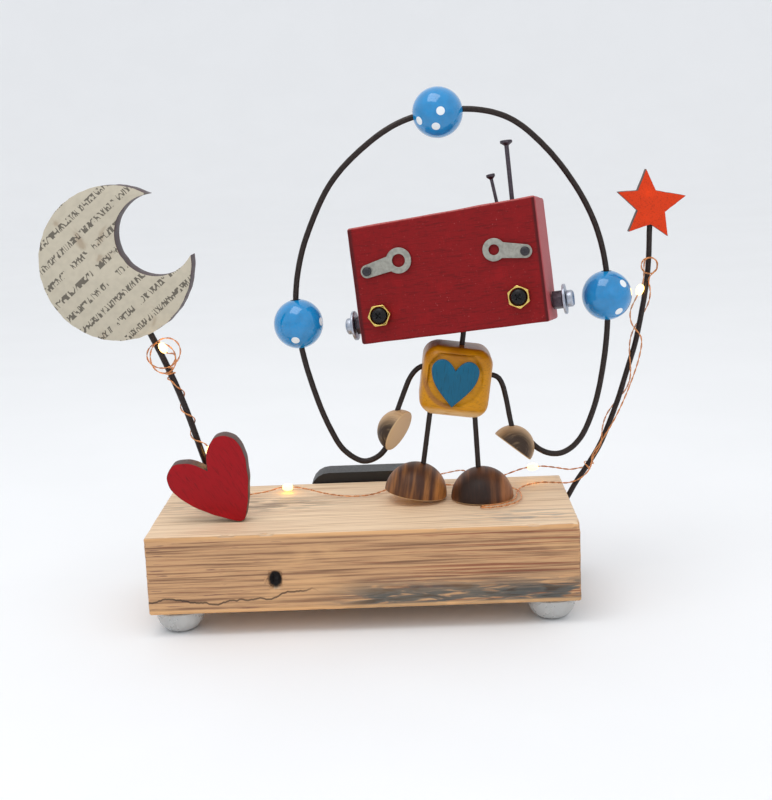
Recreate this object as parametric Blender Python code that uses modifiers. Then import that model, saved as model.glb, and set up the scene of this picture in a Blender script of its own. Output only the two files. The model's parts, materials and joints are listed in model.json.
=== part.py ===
"""Wire-and-block robot ornament lamp: a small robot of wooden blocks, beads and wire on a wooden base.

Metres, +Z up, front towards -Y. Lengths below are millimetres until MM turns them into metres.
The stand frame has its origin on the table under the middle of the base block; an empty carries it.
"""

import math

import bmesh
import bpy
from mathutils import Matrix, Vector

MM = 0.001
GAP = 0.3  # clearance between neighbouring pieces

# Stand frame: where the middle of the base block lies in the part's own frame.
STAND = Vector((-5.4, -7.55, 0.0))

# Base block and its bumpers
BASE_LENGTH = 165.0
BASE_DEPTH = 73.0
BASE_HEIGHT = 31.0
BASE_BOTTOM = 9.0
BASE_TOP = BASE_BOTTOM + BASE_HEIGHT
BASE_EDGE = 0.8
BUMPER_RADIUS = 9.5
BUMPER_FLAT = 3.0
BUMPER_RINGS = 6
BUMPER_PLACES = {
    "bumper_front_left": (-72.0, -26.0),
    "bumper_front_right": (72.0, -26.0),
    "bumper_rear_left": (-72.0, 26.0),
    "bumper_rear_right": (72.0, 26.0),
}
KNOT_HOLE = Vector((-33.5, 0.0, 21.7))
KNOT_HOLE_RADIUS = 1.9
KNOT_HOLE_DEPTH = 12.0

# Black annealed wire, by radius
LIMB_WIRE = 1.05  # arms, legs and neck
HOOP_WIRE = 1.15
STAR_WIRE = 1.1
MOON_WIRE = 1.25
BEND_SLACK = 0.15  # extra room in a straight hole for a wire end that bends
DRILL_REACH = 14.0  # a drill runs this far from a wire's end, out through the surface

# Split balls used as feet and hands
FOOT_RADIUS = 12.6
HAND_RADIUS = 8.8
LEFT_FOOT = Vector((21.0, 5.5, 42.7))
LEFT_FOOT_TILT = 9.5  # degrees, outer edge lifted
RIGHT_FOOT = Vector((47.8, 3.5, BASE_TOP + GAP))
LEFT_HAND = Vector((15.3, 4.0, 68.6))
LEFT_PALM = Vector((0.793, -0.427, -0.434))
RIGHT_HAND = Vector((60.4, 4.0, 60.5))
RIGHT_PALM = Vector((-0.625, -0.127, -0.770))

# Legs from foot to torso, and arms from inside the torso to inside the hand
LEGS = {
    "left": (Vector((23.7, 5.4, 49.6)), Vector((28.5, 4.4, 79.5))),
    "right": (Vector((46.7, 3.8, 47.6)), Vector((45.6, 4.2, 77.5))),
}
ARMS = {
    "left": ((29.5, 4.0, 95.2), (25.0, 4.0, 94.6), (22.5, 4.0, 92.9), (20.2, 4.0, 89.8), (17.6, 4.0, 83.8),
             (15.4, 4.0, 78.4), (13.6, 4.0, 73.6)),
    "right": ((49.0, 4.0, 90.4), (53.6, 4.0, 90.0), (55.7, 4.0, 88.7), (57.1, 4.0, 85.9), (58.3, 4.0, 80.7),
              (59.5, 4.0, 73.5), (60.4, 4.0, 68.6), (61.0, 4.0, 65.2)),
}

# Torso bead
TORSO_SIZE = 27.4
TORSO_EDGE = 5.0
TORSO_CENTRE = Vector((38.4, 4.0, 89.4))
TORSO_LEAN = 8.3  # degrees towards +X
DISH_RADIUS = 11.5
DISH_DEPTH = 1.2
DISH_CENTRE = Vector((-0.9, 0.0, 2.2))
CHEST_HEART_THICK = 2.0
CHEST_HEART_HEIGHT = 0.2  # above the torso's middle

# Head block: its frame has the origin at the middle of its underside
HEAD_ORIGIN = Vector((41.15, 4.0, 107.9))
HEAD_YAW = -11.7
HEAD_TILT = -6.6
HEAD_NOD = -5.6
HEAD_WIDTH = 74.5
HEAD_DEPTH = 28.0
HEAD_HEIGHT_LEFT = 45.7
HEAD_HEIGHT_RIGHT = 48.2
HEAD_EDGE = 1.2
NECK_FOOT = Vector((40.6, 4.0, 96.6))
NECK_PIVOT = Vector((42.1, 4.0, 106.9))
NECK_REACH = 8.5  # how far the neck wire runs up into the head

# Eye lugs: ring radius, hole radius, half width of the tab, ring centre and nail on the head's face
LUG_THICK = 0.7
EYE_LUGS = {
    "left": (5.0, 2.55, 2.6, Vector((-17.9, 0.0, 30.7)), Vector((-30.8, 0.0, 28.1))),
    "right": (4.4, 2.05, 2.6, Vector((19.4, 0.0, 29.8)), Vector((31.2, 0.0, 27.7))),
}
EYE_NAIL_RADIUS = 0.8
EYE_NAIL_HEAD = 1.8
EYE_NAIL_CROWN = 1.0
EYE_NAIL_LENGTH = 10.0
LUG_NAIL_SLACK = 0.35

# M5 cheek nuts with a black pan-head screw in each: place on the head's face and turn in degrees
NUT_FLATS = 8.0
NUT_THICK = 3.0
NUT_HOLE = 2.7
NUT_SEAT_RADIUS = 3.45
NUT_SEAT_DEPTH = 1.3
SCREW_SHANK = 2.2
SCREW_PAN = 3.1
SCREW_CROWN = 2.0
SCREW_LENGTH = 12.0
PHILLIPS_SLOT = (2.6, 0.55, 1.6)
CHEEKS = {
    "left": (Vector((-27.9, 0.0, 10.6)), 2.0),
    "right": (Vector((26.8, 0.0, 10.9)), 32.0),
}

# Ear hardware, outwards along the head's X axis: nut, washer, then the bolt's head
EAR_HEIGHT = 7.6
EAR_NUT_FLATS = 6.4
EAR_NUT_LENGTH = 3.9
WASHER_RADIUS = 5.9
WASHER_THICK = 1.0
BOLT_HEAD_RADIUS = 3.3
BOLT_HEAD = 2.7
BOLT_SHANK = 1.5
BOLT_REACH = 8.0

# Antenna nails: place along the head's top, lean, length above it, shank radius, head radius
ANTENNAE = {
    "tall_antenna_nail": (26.6, 1.2, 23.3, 0.88, 2.4),
    "short_antenna_nail": (20.6, -6.0, 11.6, 0.67, 1.75),
}
ANTENNA_SUNK = 8.5

# Skipping hoop from hand to hand, in the plane y = HOOP_Y
HOOP_Y = 4.0
HOOP_POINTS = (
    (11.6, 64.6), (7.0, 59.0), (0.7, 56.9), (-6.9, 61.6), (-12.9, 72.5), (-18.2, 88.0), (-21.9, 104.0),
    (-23.3, 122.0), (-20.9, 138.0), (-15.9, 152.0), (-7.2, 168.0), (5.2, 180.4), (19.5, 189.5),
    (34.8, 193.4), (51.5, 193.2), (63.5, 189.0), (76.5, 177.5), (88.4, 161.0), (95.2, 146.0),
    (98.6, 130.0), (98.9, 110.0), (96.8, 91.2), (92.9, 74.7), (87.0, 62.4), (80.8, 57.6),
    (75.5, 57.3), (70.6, 59.6), (67.2, 63.0),
)
BEAD_RADIUS = 9.75
BEAD_BORE = 2.1
BEAD_RINGS = 9
BEAD_PLACES = {"left_bead": (-22.9, 113.6), "top_bead": (34.8, 193.4), "right_bead": (98.9, 120.2)}
HOOP_MIDDLE = Vector((38.0, HOOP_Y, 125.0))
BEAD_INSET = 0.4  # the bore's straight axis lies this far inside the wire's bend

# Moon, its paper and stick
MOON_CENTRE = Vector((-90.2, -6.0, 141.4))
MOON_YAW = -4.0
MOON_RADIUS = 29.7
MOON_THICK = 7.5
BITE_CENTRE = (16.2, 10.3)
BITE_RADIUS = 15.6
PAPER_THICK = 0.3
STICK_POINTS = (
    (-54.2, -5.0, 32.0), (-55.4, -5.0, 40.0), (-61.4, -5.2, 60.0), (-68.9, -5.5, 86.0),
    (-74.9, -5.8, 102.4), (-80.0, -6.0, 114.3), (-83.4, -6.0, 121.6),
)

# Red heart: outline in its own frame, origin at the notch, and its pin
RED_HEART_NOTCH = Vector((-59.1, -15.4, 60.9))
RED_HEART_LEAN = 32.0
RED_HEART_THICK = 7.5
RED_HEART_SIDE = (
    (0.0, 0.0), (2.9, 4.9), (6.0, 7.6), (9.7, 9.0), (13.2, 7.9), (15.6, 5.0), (16.2, 1.0),
    (14.9, -4.4), (12.0, -10.2), (7.6, -16.6), (3.4, -21.6), (0.0, -24.0),
)
HEART_PIN_RADIUS = 0.9
HEART_PIN_SUNK = 3.0  # into the heart
HEART_PIN_LENGTH = 12.5

# Blue chest heart, same form at its own size
BLUE_HEART_SIDE = (
    (0.0, 5.0), (2.0, 7.6), (4.6, 9.1), (7.4, 8.4), (9.2, 5.6), (8.4, 1.0), (5.6, -3.4), (0.0, -9.4),
)

# Star and its wire
STAR_CENTRE = Vector((117.0, 12.0, 154.0))
STAR_THICK = 4.5
STAR_OUTLINE = (
    (-1.6, 14.0), (2.1, 5.7), (13.8, 3.2), (5.6, -2.8), (6.7, -12.3), (0.0, -7.4),
    (-8.6, -10.0), (-5.1, -1.9), (-12.8, 5.6), (-5.0, 5.9),
)
STAR_WIRE_POINTS = (
    (78.5, 29.07), (82.5, 36.0), (84.0, 38.6), (86.8, 43.4), (90.4, 48.6), (95.9, 57.4), (99.6, 65.6),
    (104.1, 77.4), (107.8, 89.2), (110.9, 99.2), (113.7, 112.4), (115.5, 123.0), (116.4, 132.0),
    (116.9, 146.0), (117.1, 151.6),
)
STAR_WIRE_Y = 12.0

# Battery case on the back of the base
CASE_CENTRE = Vector((1.5, 0.0, 25.9))
CASE_WIDTH = 51.0
CASE_HEIGHT = 36.0
CASE_DEPTH = 12.5
CASE_CORNER = 8.0
CASE_FRONT = 37.9
CASE_WALL = 1.5
TAPE_THICK = 0.8
TAPE_WIDTH = 36.0
TAPE_HEIGHT = 24.0
TAPE_MIDDLE = 24.5
COVER_LOW = -15.3
COVER_HIGH = 8.7
COVER_THICK = 1.5
CAVITY_LOW = -14.0
CAVITY_HIGH = 7.4
RAIL = 0.9
COVER_GRIPS = 5
CELL_RADIUS = 10.0
CELL_THICK = 3.2
CELL_SPACING = 11.5
STRAP_THICK = 0.5
SWITCH_SLOT = (7.0, 2.6)
SWITCH_HEIGHT = 13.8
SWITCH_DEPTH = 4.2
SWITCH_TRAVEL = 3.0

# Light string: wire radius, its LED drops and its route
STRING_RADIUS = 0.35
LED_RADIUS = 1.5
LED_LENGTH = 4.4
STRING_STEP = 5.5
TURN_POINTS = 8
STRING_STAND_OFF = 0.8  # how far a winding stands off its wire
STRING_EXIT = (6.0, 13.8)  # on the case's right end: depth from its front face, height from its middle
CASE_TO_FOOT = (
    (25.5, 43.9, 39.7), (30.0, 43.9, 39.8), (35.5, 43.2, 40.9), (41.0, 39.8, 42.6), (44.5, 34.0, 42.4),
    (48.5, 27.0, 41.6), (53.0, 23.6, 42.2), (60.4, 24.0, 44.6),
)
LED_BY_FOOT = ((70.0, 23.8, 46.9), (1.0, 0.0, 0.08))
FOOT_TO_STAR = ((79.6, 20.0, 47.2), (85.0, 15.2, 47.4))
STAR_KNOT = (0.175, 0.205, 1.5)  # share of the wire where a winding starts and ends, and its turns
STAR_CLIMB = (0.27, 0.80, 2.0)
STAR_LOOP = Vector((116.2, 9.2, 130.6))
STAR_LOOP_RADIUS = 3.4
LED_BY_STAR = ((112.4, 8.4, 121.2), (-0.45, 0.0, -1.0))
STAR_DROP = (
    (108.4, 8.4, 112.6), (109.2, 8.4, 107.2), (112.9, 8.6, 102.4), (112.2, 8.6, 95.0), (108.4, 8.6, 83.5),
    (102.8, 8.4, 71.0), (96.6, 8.2, 60.6), (92.6, 8.2, 54.6), (92.4, 8.2, 50.4), (88.6, 8.0, 45.8),
    (83.5, 9.5, 43.4), (79.0, 15.0, 42.2), (72.0, 19.0, 41.4), (66.0, 16.6, 40.9), (62.4, 9.4, 40.8),
    (61.6, 3.0, 40.8), (60.3, -3.4, 40.8), (55.6, -8.6, 40.8), (50.0, -10.8, 40.8), (47.0, -11.3, 40.8),
    (45.7, -12.7, 40.8), (47.0, -14.1, 40.8), (50.6, -14.0, 40.8), (57.2, -11.4, 40.8), (62.3, -5.0, 40.8),
    (63.4, 3.0, 40.8), (62.6, 11.0, 40.8),
    (58.0, 17.4, 40.8), (50.0, 19.6, 40.9), (40.0, 20.6, 40.9), (30.0, 21.6, 41.6),
)
LED_BEHIND_FOOT = ((18.0, 22.2, 42.3), (-1.0, -0.05, 0.0))
FEET_TO_HEART = (
    (8.5, 17.6, 40.9), (2.2, 11.2, 40.8), (-5.9, 10.2, 40.8), (-16.5, 15.9, 40.9), (-24.6, 21.0, 41.8),
)
LED_ON_BASE = ((-32.4, 22.6, 42.3), (-1.0, 0.05, 0.0))
HEART_TO_STICK = ((-40.4, 20.4, 41.4), (-48.0, 18.0, 40.9), (-54.0, 11.0, 40.9), (-58.0, 3.5, 41.2))
STICK_FOOT_WIND = (0.13, 0.25, 1.25)
LED_ON_STICK = ((-59.4, -8.0, 66.0), (-0.28, 0.0, 1.0))
STICK_CLIMB = (0.42, 0.66, 2.0)
STICK_KNOT = (0.70, 0.745, 2.0)
TOP_LOOP = Vector((-74.6, -8.6, 105.4))
TOP_LOOP_RADIUS = 6.0
TOP_LOOP_TURNS = 2.25
TOP_LOOP_DRIFT = 2.6
LED_AT_MOON = ((-73.8, -13.4, 108.8), (-0.5, -0.1, 1.0))
LEFT, BACK, RIGHT, FRONT = 0.0, math.pi / 2, math.pi, -math.pi / 2  # side where a winding starts
LEDS = (LED_BY_FOOT, LED_BY_STAR, LED_BEHIND_FOOT, LED_ON_BASE, LED_ON_STICK, LED_AT_MOON)


def clear_scene():
    for obj in list(bpy.data.objects):
        bpy.data.objects.remove(obj, do_unlink=True)


def make_collection(name):
    collection = bpy.data.collections.new(name)
    bpy.context.scene.collection.children.link(collection)
    return collection


clear_scene()
PARTS = make_collection("robot_ornament_lamp")
CUTTERS = make_collection("cutters")


def finish_of(name, colour, roughness, metallic=0.0):
    material = bpy.data.materials.new(name)
    material.use_nodes = True
    shader = material.node_tree.nodes["Principled BSDF"]
    shader.inputs["Base Color"].default_value = (*colour, 1.0)
    shader.inputs["Roughness"].default_value = roughness
    shader.inputs["Metallic"].default_value = metallic
    return material


FINISHES = {
    "base_wood": finish_of("base_wood", (0.62, 0.40, 0.22), 0.75),
    "clear_rubber": finish_of("clear_rubber", (0.80, 0.80, 0.78), 0.30),
    "burnt_wood": finish_of("burnt_wood", (0.12, 0.05, 0.025), 0.45),
    "pale_wood": finish_of("pale_wood", (0.66, 0.46, 0.27), 0.60),
    "black_wire": finish_of("black_wire", (0.03, 0.022, 0.018), 0.40, 0.7),
    "ochre_paint": finish_of("ochre_paint", (0.50, 0.26, 0.01), 0.35),
    "blue_paint": finish_of("blue_paint", (0.02, 0.15, 0.32), 0.55),
    "red_paint": finish_of("red_paint", (0.22, 0.015, 0.018), 0.50),
    "heart_red": finish_of("heart_red", (0.38, 0.01, 0.015), 0.45),
    "lug_metal": finish_of("lug_metal", (0.35, 0.34, 0.33), 0.45, 0.8),
    "nail_steel": finish_of("nail_steel", (0.10, 0.09, 0.08), 0.45, 0.8),
    "brass": finish_of("brass", (0.80, 0.55, 0.25), 0.25, 1.0),
    "black_screw": finish_of("black_screw", (0.02, 0.02, 0.02), 0.35, 0.6),
    "zinc": finish_of("zinc", (0.65, 0.68, 0.70), 0.30, 1.0),
    "bead_blue": finish_of("bead_blue", (0.02, 0.27, 0.68), 0.10),
    "moon_wood": finish_of("moon_wood", (0.15, 0.10, 0.09), 0.70),
    "moon_paper": finish_of("moon_paper", (0.62, 0.55, 0.44), 0.80),
    "star_orange": finish_of("star_orange", (0.71, 0.06, 0.006), 0.45),
    "case_plastic": finish_of("case_plastic", (0.02, 0.02, 0.02), 0.35),
    "cell_steel": finish_of("cell_steel", (0.60, 0.60, 0.58), 0.25, 1.0),
    "foam_tape": finish_of("foam_tape", (0.85, 0.85, 0.83), 0.90),
    "copper_wire": finish_of("copper_wire", (0.69, 0.30, 0.14), 0.30, 1.0),
    "led_resin": finish_of("led_resin", (1.0, 0.82, 0.45), 0.15),
}


STAND_EMPTY = bpy.data.objects.new("stand", None)
STAND_EMPTY.location = STAND * MM
PARTS.objects.link(STAND_EMPTY)


def put(obj, collection, matrix, parent=None):
    """Links obj at a matrix in millimetres, under the stand or another empty."""
    collection.objects.link(obj)
    obj.parent = parent or STAND_EMPTY
    local = matrix.copy()
    local.translation = matrix.translation * MM
    obj.matrix_local = local
    return obj


def empty(name, matrix, parent=None):
    """An empty on a joint's axis, which carries the pieces that move."""
    return put(bpy.data.objects.new(name, None), PARTS, matrix, parent)


def place(obj, matrix, finish=None, parent=None):
    """Links obj as a piece in its finish."""
    if finish:
        obj.data.materials.append(FINISHES[finish])
    return put(obj, PARTS, matrix, parent)


def smooth(obj, angle=35.0):
    obj.data.shade_smooth()
    obj.data.set_sharp_from_angle(angle=math.radians(angle))


def mesh_from(bm, name):
    """Turns a millimetre bmesh into a mesh in metres."""
    bmesh.ops.scale(bm, vec=(MM, MM, MM), verts=bm.verts)
    mesh = bpy.data.meshes.new(name)
    bm.to_mesh(mesh)
    bm.free()
    return mesh


def aim(origin, direction, turn=0.0):
    """Matrix with its Z along direction, turned about it by turn degrees."""
    basis = Vector(direction).normalized().to_track_quat("Z", "Y").to_matrix().to_4x4()
    return Matrix.Translation(origin) @ basis @ Matrix.Rotation(math.radians(turn), 4, "Z")


def face_frame(origin, lean=0.0, yaw=0.0):
    """Matrix whose local XY plane stands upright facing the front: local Y is up, local Z faces -Y."""
    spin = Matrix.Rotation(math.radians(yaw), 4, "Z") @ Matrix.Rotation(math.radians(-lean), 4, "Y")
    return Matrix.Translation(origin) @ spin @ Matrix.Rotation(math.radians(90.0), 4, "X")


def box_mesh(name, size):
    bm = bmesh.new()
    bmesh.ops.create_cube(bm, size=1.0)
    bmesh.ops.scale(bm, vec=size, verts=bm.verts)
    return mesh_from(bm, name)


def rod_mesh(name, radius, length, segments=16):
    """A rod along +Z from the origin."""
    bm = bmesh.new()
    bmesh.ops.create_cone(
        bm, cap_ends=True, segments=segments, radius1=radius, radius2=radius,
        depth=length, matrix=Matrix.Translation((0, 0, length / 2)),
    )
    return mesh_from(bm, name)


def bevel(obj, width, segments=2):
    modifier = obj.modifiers.new("rounded_edges", "BEVEL")
    modifier.width = width * MM
    modifier.segments = segments
    modifier.limit_method = "ANGLE"
    return modifier


def cutter(mesh, matrix, parent=None):
    obj = put(bpy.data.objects.new(mesh.name, mesh), CUTTERS, matrix, parent)
    obj.hide_render = True
    obj.display_type = "WIRE"
    return obj


def cut(target, tool, operation="DIFFERENCE"):
    modifier = target.modifiers.new(tool.name, "BOOLEAN")
    modifier.operation = operation
    modifier.solver = "EXACT"
    modifier.object = tool


def bore(target, start, end, radius, parent=None, segments=12):
    """Drills target from start to end, both in the frame of parent."""
    way = Vector(end) - Vector(start)
    mesh = rod_mesh(f"{target.name}_bore", radius, way.length, segments)
    cut(target, cutter(mesh, aim(start, way), parent))


def seat(target, end, inner, radius):
    """Drills target for a wire that ends inside it: from just past its end out along it."""
    way = (Vector(inner) - Vector(end)).normalized()
    bore(target, end - way * GAP, end + way * DRILL_REACH, radius)


def piece(name, mesh, matrix, finish, parent=None):
    return place(bpy.data.objects.new(name, mesh), matrix, finish, parent)


def turned(name, profile, matrix, finish, parent=None, steps=24):
    """A turned piece: profile is (radius, height) from top to bottom down its outer side."""
    bm = bmesh.new()
    verts = [bm.verts.new((radius, 0.0, height)) for radius, height in profile]
    for first, second in zip(verts, verts[1:]):
        bm.edges.new((first, second))
    obj = piece(name, mesh_from(bm, name), matrix, finish, parent)
    screw = obj.modifiers.new("turned", "SCREW")
    screw.axis = "Z"
    screw.steps = steps
    screw.render_steps = steps
    screw.use_merge_vertices = True
    screw.merge_threshold = 0.00001
    screw.use_smooth_shade = True
    return obj


def dome_profile(radius, rings=7):
    """Half ball on its flat face at height 0, apex up."""
    points = []
    for ring in range(rings + 1):
        angle = math.pi / 2 * (1 - ring / rings)
        points.append((radius * math.cos(angle), radius * math.sin(angle)))
    points.append((0.0, 0.0))
    return points


def smooth_path(points, step):
    """Points about step apart on a centripetal Catmull-Rom curve through the given points."""
    nodes = [Vector(p) for p in points]
    nodes = [nodes[0] * 2 - nodes[1]] + nodes + [nodes[-1] * 2 - nodes[-2]]
    path = []
    for p0, p1, p2, p3 in zip(nodes, nodes[1:], nodes[2:], nodes[3:]):
        knots = [0.0]
        for a, b in ((p0, p1), (p1, p2), (p2, p3)):
            knots.append(knots[-1] + max(math.sqrt((b - a).length), 1e-6))
        count = max(1, round((p2 - p1).length / step))
        for index in range(count):
            t = knots[1] + (knots[2] - knots[1]) * index / count
            a1 = p0.lerp(p1, (t - knots[0]) / (knots[1] - knots[0]))
            a2 = p1.lerp(p2, (t - knots[1]) / (knots[2] - knots[1]))
            a3 = p2.lerp(p3, (t - knots[2]) / (knots[3] - knots[2]))
            b1 = a1.lerp(a2, (t - knots[0]) / (knots[2] - knots[0]))
            b2 = a2.lerp(a3, (t - knots[1]) / (knots[3] - knots[1]))
            path.append(b1.lerp(b2, (t - knots[1]) / (knots[2] - knots[1])))
    path.append(nodes[-2])
    return path


def wire(name, path, radius, finish, parent=None, resolution=2):
    """A round wire along path."""
    curve = bpy.data.curves.new(name, "CURVE")
    curve.dimensions = "3D"
    curve.bevel_depth = radius * MM
    curve.bevel_resolution = resolution
    curve.use_fill_caps = True
    spline = curve.splines.new("POLY")
    spline.points.add(len(path) - 1)
    for point, place_at in zip(spline.points, path):
        point.co = (*(Vector(place_at) * MM), 1.0)
    return place(bpy.data.objects.new(name, curve), Matrix.Identity(4), finish, parent)


def plate(name, outlines, thickness, matrix, finish, parent=None):
    """A flat piece cut to closed outlines in its local XY plane; inner outlines are holes."""
    curve = bpy.data.curves.new(name, "CURVE")
    curve.dimensions = "2D"
    curve.fill_mode = "BOTH"
    curve.extrude = thickness / 2 * MM
    for outline in outlines:
        spline = curve.splines.new("POLY")
        spline.points.add(len(outline) - 1)
        for point, (x, y) in zip(spline.points, outline):
            point.co = (x * MM, y * MM, 0.0, 1.0)
        spline.use_cyclic_u = True
    return place(bpy.data.objects.new(name, curve), matrix, finish, parent)


def solid_plate(name, outlines, thickness, matrix, finish, parent=None):
    """The same as a closed mesh, which can be cut."""
    obj = plate(name + "_outline", outlines, thickness, matrix, None, parent)
    bpy.context.view_layer.update()
    evaluated = obj.evaluated_get(bpy.context.evaluated_depsgraph_get())
    mesh = bpy.data.meshes.new_from_object(evaluated)
    bm = bmesh.new()
    bm.from_mesh(mesh)
    bmesh.ops.remove_doubles(bm, verts=bm.verts, dist=1e-7)
    bmesh.ops.recalc_face_normals(bm, faces=bm.faces)
    bm.to_mesh(mesh)
    bm.free()
    mesh.name = name
    bpy.data.objects.remove(obj, do_unlink=True)
    mesh.materials.clear()
    return piece(name, mesh, matrix, finish, parent)


def arc(centre, radius, start, end, count):
    """Points of an arc, angles in degrees, both ends included."""
    angles = [math.radians(start + (end - start) * i / (count - 1)) for i in range(count)]
    return [(centre[0] + radius * math.cos(a), centre[1] + radius * math.sin(a)) for a in angles]


def circle(radius, count, centre=(0.0, 0.0)):
    return arc(centre, radius, 0.0, 360.0, count + 1)[:-1]


def hexagon(flats, turn=0.0):
    return [
        (flats / math.sqrt(3) * math.cos(math.radians(turn + 60 * i)),
         flats / math.sqrt(3) * math.sin(math.radians(turn + 60 * i)))
        for i in range(6)
    ]


def mirrored_outline(side):
    """Closed outline from its right-hand side, which starts and ends on the middle line."""
    return list(side) + [(-x, y) for x, y in reversed(side[1:-1])]


# ---------------------------------------------------------------- base and bumpers

def build_base():
    centre = Vector((0.0, 0.0, BASE_BOTTOM + BASE_HEIGHT / 2))
    base = piece("base_block", box_mesh("base_block", (BASE_LENGTH, BASE_DEPTH, BASE_HEIGHT)),
                 Matrix.Translation(centre), "base_wood")
    bevel(base, BASE_EDGE)
    front = Vector((KNOT_HOLE.x, -BASE_DEPTH / 2 - 1, KNOT_HOLE.z))
    bore(base, front, front + Vector((0, KNOT_HOLE_DEPTH + 1, 0)), KNOT_HOLE_RADIUS)
    seat(base, STAR_PATH[0], STAR_PATH[1], STAR_WIRE + GAP)
    seat(base, STICK_PATH[0], STICK_PATH[1], MOON_WIRE + GAP)
    seat(base, HEART_PIN_FOOT, HEART_PIN_TOP, HEART_PIN_RADIUS + GAP)
    for name, (x, y) in BUMPER_PLACES.items():
        top = BASE_BOTTOM - GAP
        profile = [(0.0, top), (BUMPER_RADIUS, top)]
        for ring in range(1, BUMPER_RINGS + 1):
            share = ring / BUMPER_RINGS
            swell = math.sqrt(1 - share ** 2)
            profile.append((BUMPER_FLAT + (BUMPER_RADIUS - BUMPER_FLAT) * swell, top * (1 - share)))
        profile.append((0.0, 0.0))
        turned(name, profile, Matrix.Translation((x, y, 0.0)), "clear_rubber", steps=24)


# ---------------------------------------------------------------- feet, legs, torso

TORSO = Matrix.Translation(TORSO_CENTRE) @ Matrix.Rotation(math.radians(TORSO_LEAN), 4, "Y")
NECK_WAY = (NECK_PIVOT - NECK_FOOT).normalized()
FOOT_FRAMES = {
    "left": Matrix.Translation(LEFT_FOOT) @ Matrix.Rotation(math.radians(LEFT_FOOT_TILT), 4, "Y"),
    "right": Matrix.Translation(RIGHT_FOOT),
}


def build_feet_and_legs():
    for side, (low, high) in LEGS.items():
        foot = turned(f"{side}_foot", dome_profile(FOOT_RADIUS), FOOT_FRAMES[side], "burnt_wood", steps=28)
        wire(f"{side}_leg", [low, low.lerp(high, 0.5), high], LIMB_WIRE, "black_wire")
        seat(foot, low, high, LIMB_WIRE + GAP)


def build_torso():
    block = box_mesh("torso_block", (TORSO_SIZE, TORSO_SIZE, TORSO_SIZE))
    torso = piece("torso_block", block, TORSO, "ochre_paint")
    bevel(torso, TORSO_EDGE, 4)
    smooth(torso)
    face = TORSO @ Vector((DISH_CENTRE.x, -TORSO_SIZE / 2 - 2, DISH_CENTRE.z))
    floor = TORSO @ Vector((DISH_CENTRE.x, -TORSO_SIZE / 2 + DISH_DEPTH, DISH_CENTRE.z))
    bore(torso, face, floor, DISH_RADIUS, segments=28)
    seat(torso, NECK_FOOT, NECK_PIVOT, LIMB_WIRE + GAP)
    for low, high in LEGS.values():
        seat(torso, high, low, LIMB_WIRE + GAP)
    for points in ARMS.values():
        seat(torso, Vector(points[0]), points[1], LIMB_WIRE + GAP + BEND_SLACK)
    depth = -TORSO_SIZE / 2 + DISH_DEPTH - GAP - CHEST_HEART_THICK / 2
    frame = TORSO @ face_frame((DISH_CENTRE.x, depth, CHEST_HEART_HEIGHT))
    outline = [(p.x, p.y) for p in closed_curve(mirrored_outline(BLUE_HEART_SIDE), 2, (0, 7))]
    plate("chest_heart", [outline], CHEST_HEART_THICK, frame, "blue_paint")
    neck_top = NECK_PIVOT + NECK_WAY * NECK_REACH
    wire("neck_wire", [NECK_FOOT, NECK_PIVOT, neck_top], LIMB_WIRE, "black_wire")


def closed_curve(outline, steps, corners=()):
    """Rounds a closed outline between its corners, which stay sharp; steps points per side."""
    points = [Vector((x, y, 0.0)) for x, y in outline]
    total = len(points)
    rounded = []
    for index in range(total):
        p0, p1 = points[index - 1], points[index]
        p2, p3 = points[(index + 1) % total], points[(index + 2) % total]
        if index in corners:
            p0 = p1 * 2 - p2
        if (index + 1) % total in corners:
            p3 = p2 * 2 - p1
        for step in range(steps):
            t = step / steps
            rounded.append(0.5 * ((2 * p1) + (p2 - p0) * t + (2 * p0 - 5 * p1 + 4 * p2 - p3) * t * t
                                  + (3 * p1 - p0 - 3 * p2 + p3) * t ** 3))
    return rounded


# ---------------------------------------------------------------- arms, hands, hoop, beads

HOOP_PATH = smooth_path([(x, HOOP_Y, z) for x, z in HOOP_POINTS], 7.0)
HAND_FRAMES = {"left": aim(LEFT_HAND, -LEFT_PALM), "right": aim(RIGHT_HAND, -RIGHT_PALM)}


def build_arms():
    for side, points in ARMS.items():
        hand = turned(f"{side}_hand", dome_profile(HAND_RADIUS), HAND_FRAMES[side], "pale_wood", steps=24)
        path = smooth_path(points, 3.5)
        wire(f"{side}_arm", path, LIMB_WIRE, "black_wire")
        seat(hand, path[-1], path[-2], LIMB_WIRE + GAP + BEND_SLACK)
        hoop_end = HOOP_PATH if side == "left" else HOOP_PATH[::-1]
        seat(hand, hoop_end[0], hoop_end[1], HOOP_WIRE + GAP + BEND_SLACK)


def nearest_on_hoop(x, z):
    """Point and tangent of the hoop nearest to a place in its plane."""
    here = Vector((x, HOOP_Y, z))
    fine = smooth_path([(x, HOOP_Y, z) for x, z in HOOP_POINTS], 0.5)
    index = min(range(1, len(fine) - 1), key=lambda i: (fine[i] - here).length)
    return fine[index], (fine[index + 1] - fine[index - 1]).normalized()


def bead_axis(name):
    spot, way = nearest_on_hoop(*BEAD_PLACES[name])
    inward = HOOP_MIDDLE - spot
    inward -= way * inward.dot(way)
    return spot + inward.normalized() * BEAD_INSET, way


def build_hoop_and_beads():
    wire("hoop_wire", HOOP_PATH, HOOP_WIRE, "black_wire")
    end = math.asin(BEAD_BORE / BEAD_RADIUS)
    profile = []
    for ring in range(BEAD_RINGS + 1):
        angle = end + (math.pi - 2 * end) * ring / BEAD_RINGS
        profile.append((BEAD_RADIUS * math.sin(angle), BEAD_RADIUS * math.cos(angle)))
    profile.append(profile[0])
    for name in BEAD_PLACES:
        centre, way = bead_axis(name)
        pivot = empty(f"{name}_pivot", Matrix.Translation(centre))
        turned(name, profile, aim(Vector((0, 0, 0)), way), "bead_blue", pivot)


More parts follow.
